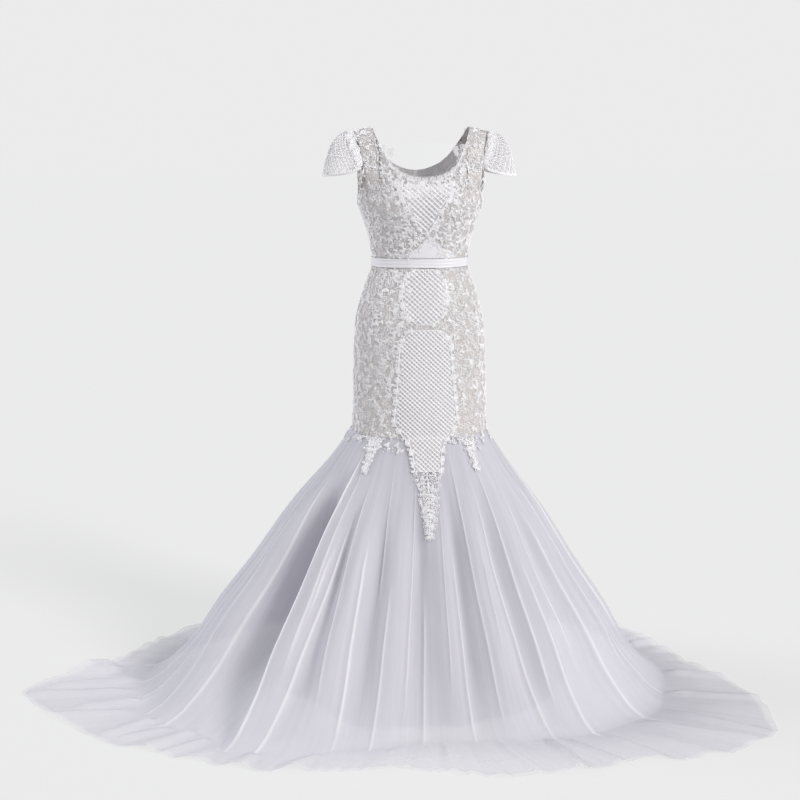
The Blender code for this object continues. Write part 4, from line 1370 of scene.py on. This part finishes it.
# The cap sleeves: sheer net caught into the armhole, covered by a lattice of beaded cords and edged with
# small scallops. They stand out over the upper arm by the stiffness of the beading.
SLEEVE_COLUMNS = 28
SLEEVE_PITCH = 0.0092
SLEEVE_SEAM = 0.0028
SLEEVE_HEM_INNER = 0.156
SLEEVE_HEM_REACH = 0.0885
SLEEVE_HEM_DEPTH = 0.076
SLEEVE_HEM_HEIGHT = 1.357
SLEEVE_HEM_RISE = 0.016
sleeve_net, sleeve_shader = plain_material("sleeve_net", (0.84, 0.82, 0.84), 0.6)
sleeve_shader.inputs["Alpha"].default_value = 0.30
ARMHOLE_TURN = np.linspace(-90, 90, 181)


def sleeve_sheet(turn, rise):
    """The wearer's left sleeve: turn runs front to back and rise from the hem, 0, to the armhole, 1."""
    turn = np.clip(turn, -89.9, 89.9)
    out = 1 - rise
    angle = 64 + 11 * np.abs(turn) / 90
    fore = arch_point(angle, 1.0 + 0 * turn, False)
    aft = arch_point(-angle, 1.0 + 0 * turn, True)
    root = np.where((turn > 0)[..., None], aft, fore)
    root[..., 0] = np.abs(root[..., 0]) + SLEEVE_SEAM
    spread = np.cos(np.radians(turn))
    hem_x = SLEEVE_HEM_INNER + SLEEVE_HEM_REACH * spread
    hem_y = SLEEVE_HEM_DEPTH * np.sin(np.radians(turn))
    hem_z = SLEEVE_HEM_HEIGHT + SLEEVE_HEM_RISE * (1 - spread) ** 2 - SHOULDER_HEIGHT
    hem = np.stack((hem_x, hem_y, hem_z), axis=-1)
    crown = (root + hem) / 2
    crown[..., 0] += 0.017 * spread
    crown[..., 1] *= 1 + 0.12 * spread
    crown[..., 2] += 0.054 * spread
    t = out[..., None]
    return (root * (1 - t) + crown * t) * (1 - t) + (crown * (1 - t) + hem * t) * t


def right_sleeve_sheet(turn, rise):
    """The wearer's right sleeve, with its turn the other way round."""
    return sleeve_sheet(-turn, rise) * (-1, 1, 1)


for name, sheet in (("sleeve_left", sleeve_sheet), ("sleeve_right", right_sleeve_sheet)):
    def sleeve_place(u, v):
        return lifted(sheet, -89.6 + 179.2 * u, 0.995 * v, 0.001 + 0 * u, 0.2, 0.004)[0]

    base = cloth(f"{name}_net", 60, 24, sleeve_place, (0.30, 0.13), sleeve_net)
    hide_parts(name)
    beading = Motifs(sheet, SEED, 0.6, 0.01, 0.0012)
    fine = np.linspace(-89, 89, 357)
    hem_steps = np.linalg.norm(np.diff(sheet(fine, 0 * fine), axis=0), axis=1)
    hem_way = np.r_[0, np.cumsum(hem_steps)] / hem_steps.sum()
    lengths = 0
    for i in range(10):
        step = sheet(fine, 0 * fine + (i + 1) / 10) - sheet(fine, 0 * fine + i / 10)
        lengths = lengths + np.linalg.norm(step, axis=1)

    def net_place(column, row):
        """A crossing of the lattice: columns at even places along the hem, rows at even heights above it."""
        turn = np.interp(column / SLEEVE_COLUMNS, hem_way, fine)
        return turn, row * SLEEVE_PITCH / np.interp(turn, fine, lengths)

    most = int(lengths.max() / SLEEVE_PITCH) + 1
    for k in range(-most, SLEEVE_COLUMNS + most + 1, 2):
        for direction in (1, -1):
            rows = np.arange(0, most, 0.5)
            columns = k + direction * rows
            turns, rises = net_place(columns, rows)
            inside = (columns >= 0) & (columns <= SLEEVE_COLUMNS) & (rises < 0.97)
            for run in np.split(np.arange(len(rows)), np.flatnonzero(np.diff(inside)) + 1):
                if inside[run[0]] and len(run) > 1:
                    beading.trace(turns[run], rises[run])
    for row in range(most):
        for column in range(SLEEVE_COLUMNS + 1):
            turn_at, rise_at = net_place(column, row)
            if (row + column) % 2 == 0 and rise_at < 0.97:
                beading.bead(turn_at, rise_at, 0, 0, 1.15)
    rim = np.interp(np.arange(57) / 56, hem_way, fine)
    beading.trace(rim, 0 * rim)
    for turn_at in rim:
        beading.bead(turn_at, 0.005, 0, 0, 1.0)
        beading.leaf(turn_at, 0.0, 0, 0.001, 0.0060, -math.pi / 2)
    ridge_turns, ridge_rises = net_place(np.linspace(2, SLEEVE_COLUMNS - 2, 60), 4.0)
    beading.trace(ridge_turns, ridge_rises)
    for turn_at, rise_at in zip(ridge_turns, ridge_rises):
        beading.bead(turn_at, rise_at, 0, 0, 1.05)
    for i in range(34):
        turn_at = -84 + 168 * i / 33
        beading.flower(turn_at, beading.dice.uniform(0.84, 0.98), beading.dice.uniform(0.006, 0.009))
        beading.leaf(turn_at, 0.84, 0, 0, 0.010, beading.dice.uniform(0, math.tau))
    cords = beading.piece(f"{name}_beading", thread_lace, 0.0011, 0.0023, 0.0008)


# The satin underskirt: a plain flared tube that hangs from inside the head of the net to just clear of the
# floor, with soft creases down its front that show through the net.
UNDER_FOOT = table(
    "angle radius",
    (-180, 0.400),
    (-120, 0.400),
    (-90, 0.400),
    (-61, 0.340),
    (-40, 0.370),
    (0, 0.350),
    (40, 0.370),
    (90, 0.400),
    (120, 0.400),
    (180, 0.400),
)
UNDER_TOP = 0.6972
UNDER_INSET = 0.0019
UNDER_HEM_HEIGHT = 0.012
SATIN_CREASES = table(
    "top foot start end width depth",
    (-30, -36, 0.10, 1.20, 3.0, -0.010),
    (-22, -24, 0.25, 1.20, 2.5, 0.009),
    (-15, -17, 0.05, 0.70, 2.2, -0.008),
    (-8, -6, 0.35, 1.20, 3.2, 0.010),
    (-2, -11, 0.08, 0.62, 1.8, -0.009),
    (4, 3, 0.30, 1.20, 2.6, -0.010),
    (10, 14, 0.12, 0.90, 2.8, 0.008),
    (19, 22, 0.20, 1.20, 3.0, -0.009),
    (29, 31, 0.08, 1.20, 2.8, 0.008),
    (48, 50, 0.20, 1.20, 4.5, -0.010),
    (75, 78, 0.10, 1.20, 5.0, 0.010),
    (104, 101, 0.20, 1.20, 5.5, -0.010),
    (137, 140, 0.10, 1.20, 6.0, 0.010),
    (172, 170, 0.20, 1.20, 5.0, -0.010),
    (-146, -149, 0.10, 1.20, 6.0, 0.010),
    (-110, -108, 0.20, 1.20, 5.0, -0.010),
    (-70, -72, 0.10, 1.20, 5.0, 0.008),
)
under_satin, under_shader = plain_material("underskirt_satin", (0.83, 0.82, 0.86), 0.38)


def under_place(u, v):
    """The satin's outside: u runs round from the middle of the back, v down from the head."""
    angle = -180 + 360 * u
    turn = np.radians(angle)
    down = 1 - v
    top = ring_radius(angle, KNEE_HEIGHT) - UNDER_INSET
    foot = smooth(UNDER_FOOT, "angle", "radius", angle)
    radius = top + (foot - top) * down * (0.85 + 0.15 * down) + 0.008 * ease(down) * np.sin(9 * turn)
    for i in range(len(SATIN_CREASES["top"])):
        row = {key: column[i] for key, column in SATIN_CREASES.items()}
        centre = row["top"] + (row["foot"] - row["top"]) * down
        away = round_gap(angle, centre) / row["width"]
        fade = ease((down - row["start"]) / 0.2) * ease((row["end"] - down) / 0.25)
        radius = radius + row["depth"] * fade * np.exp(-away * away)
    height = UNDER_TOP * (1 - down) + UNDER_HEM_HEIGHT * down
    return np.stack((radius * np.sin(turn), -radius * np.cos(turn), height - SHOULDER_HEIGHT), axis=-1)


under = cloth("underskirt_satin", 260, 60, under_place, (2.45, 0.76), under_satin)
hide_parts("underskirt")


# The back zip: a concealed zip down the middle of the back, from the top edge to the hips, with its tape
# pressed flat under the two edges and its teeth hidden.
zip_tape, zip_shader = plain_material("zip_tape", (0.84, 0.83, 0.85), 0.5)
zip_tree = zip_tape.node_tree
zip_where = zip_tree.nodes.new("ShaderNodeTexCoord")
zip_waves = zip_tree.nodes.new("ShaderNodeTexWave")
zip_waves.bands_direction = "Z"
zip_waves.inputs["Scale"].default_value = 130
zip_bump = zip_tree.nodes.new("ShaderNodeBump")
zip_bump.inputs["Distance"].default_value = 0.0004
zip_tree.links.new(zip_where.outputs["Object"], zip_waves.inputs["Vector"])
zip_tree.links.new(zip_waves.outputs["Fac"], zip_bump.inputs["Height"])
zip_tree.links.new(zip_bump.outputs["Normal"], zip_shader.inputs["Normal"])
zip_node = bpy.data.objects["back_zip"]
for place in zip_node.material_slots:
    place.material = zip_tape
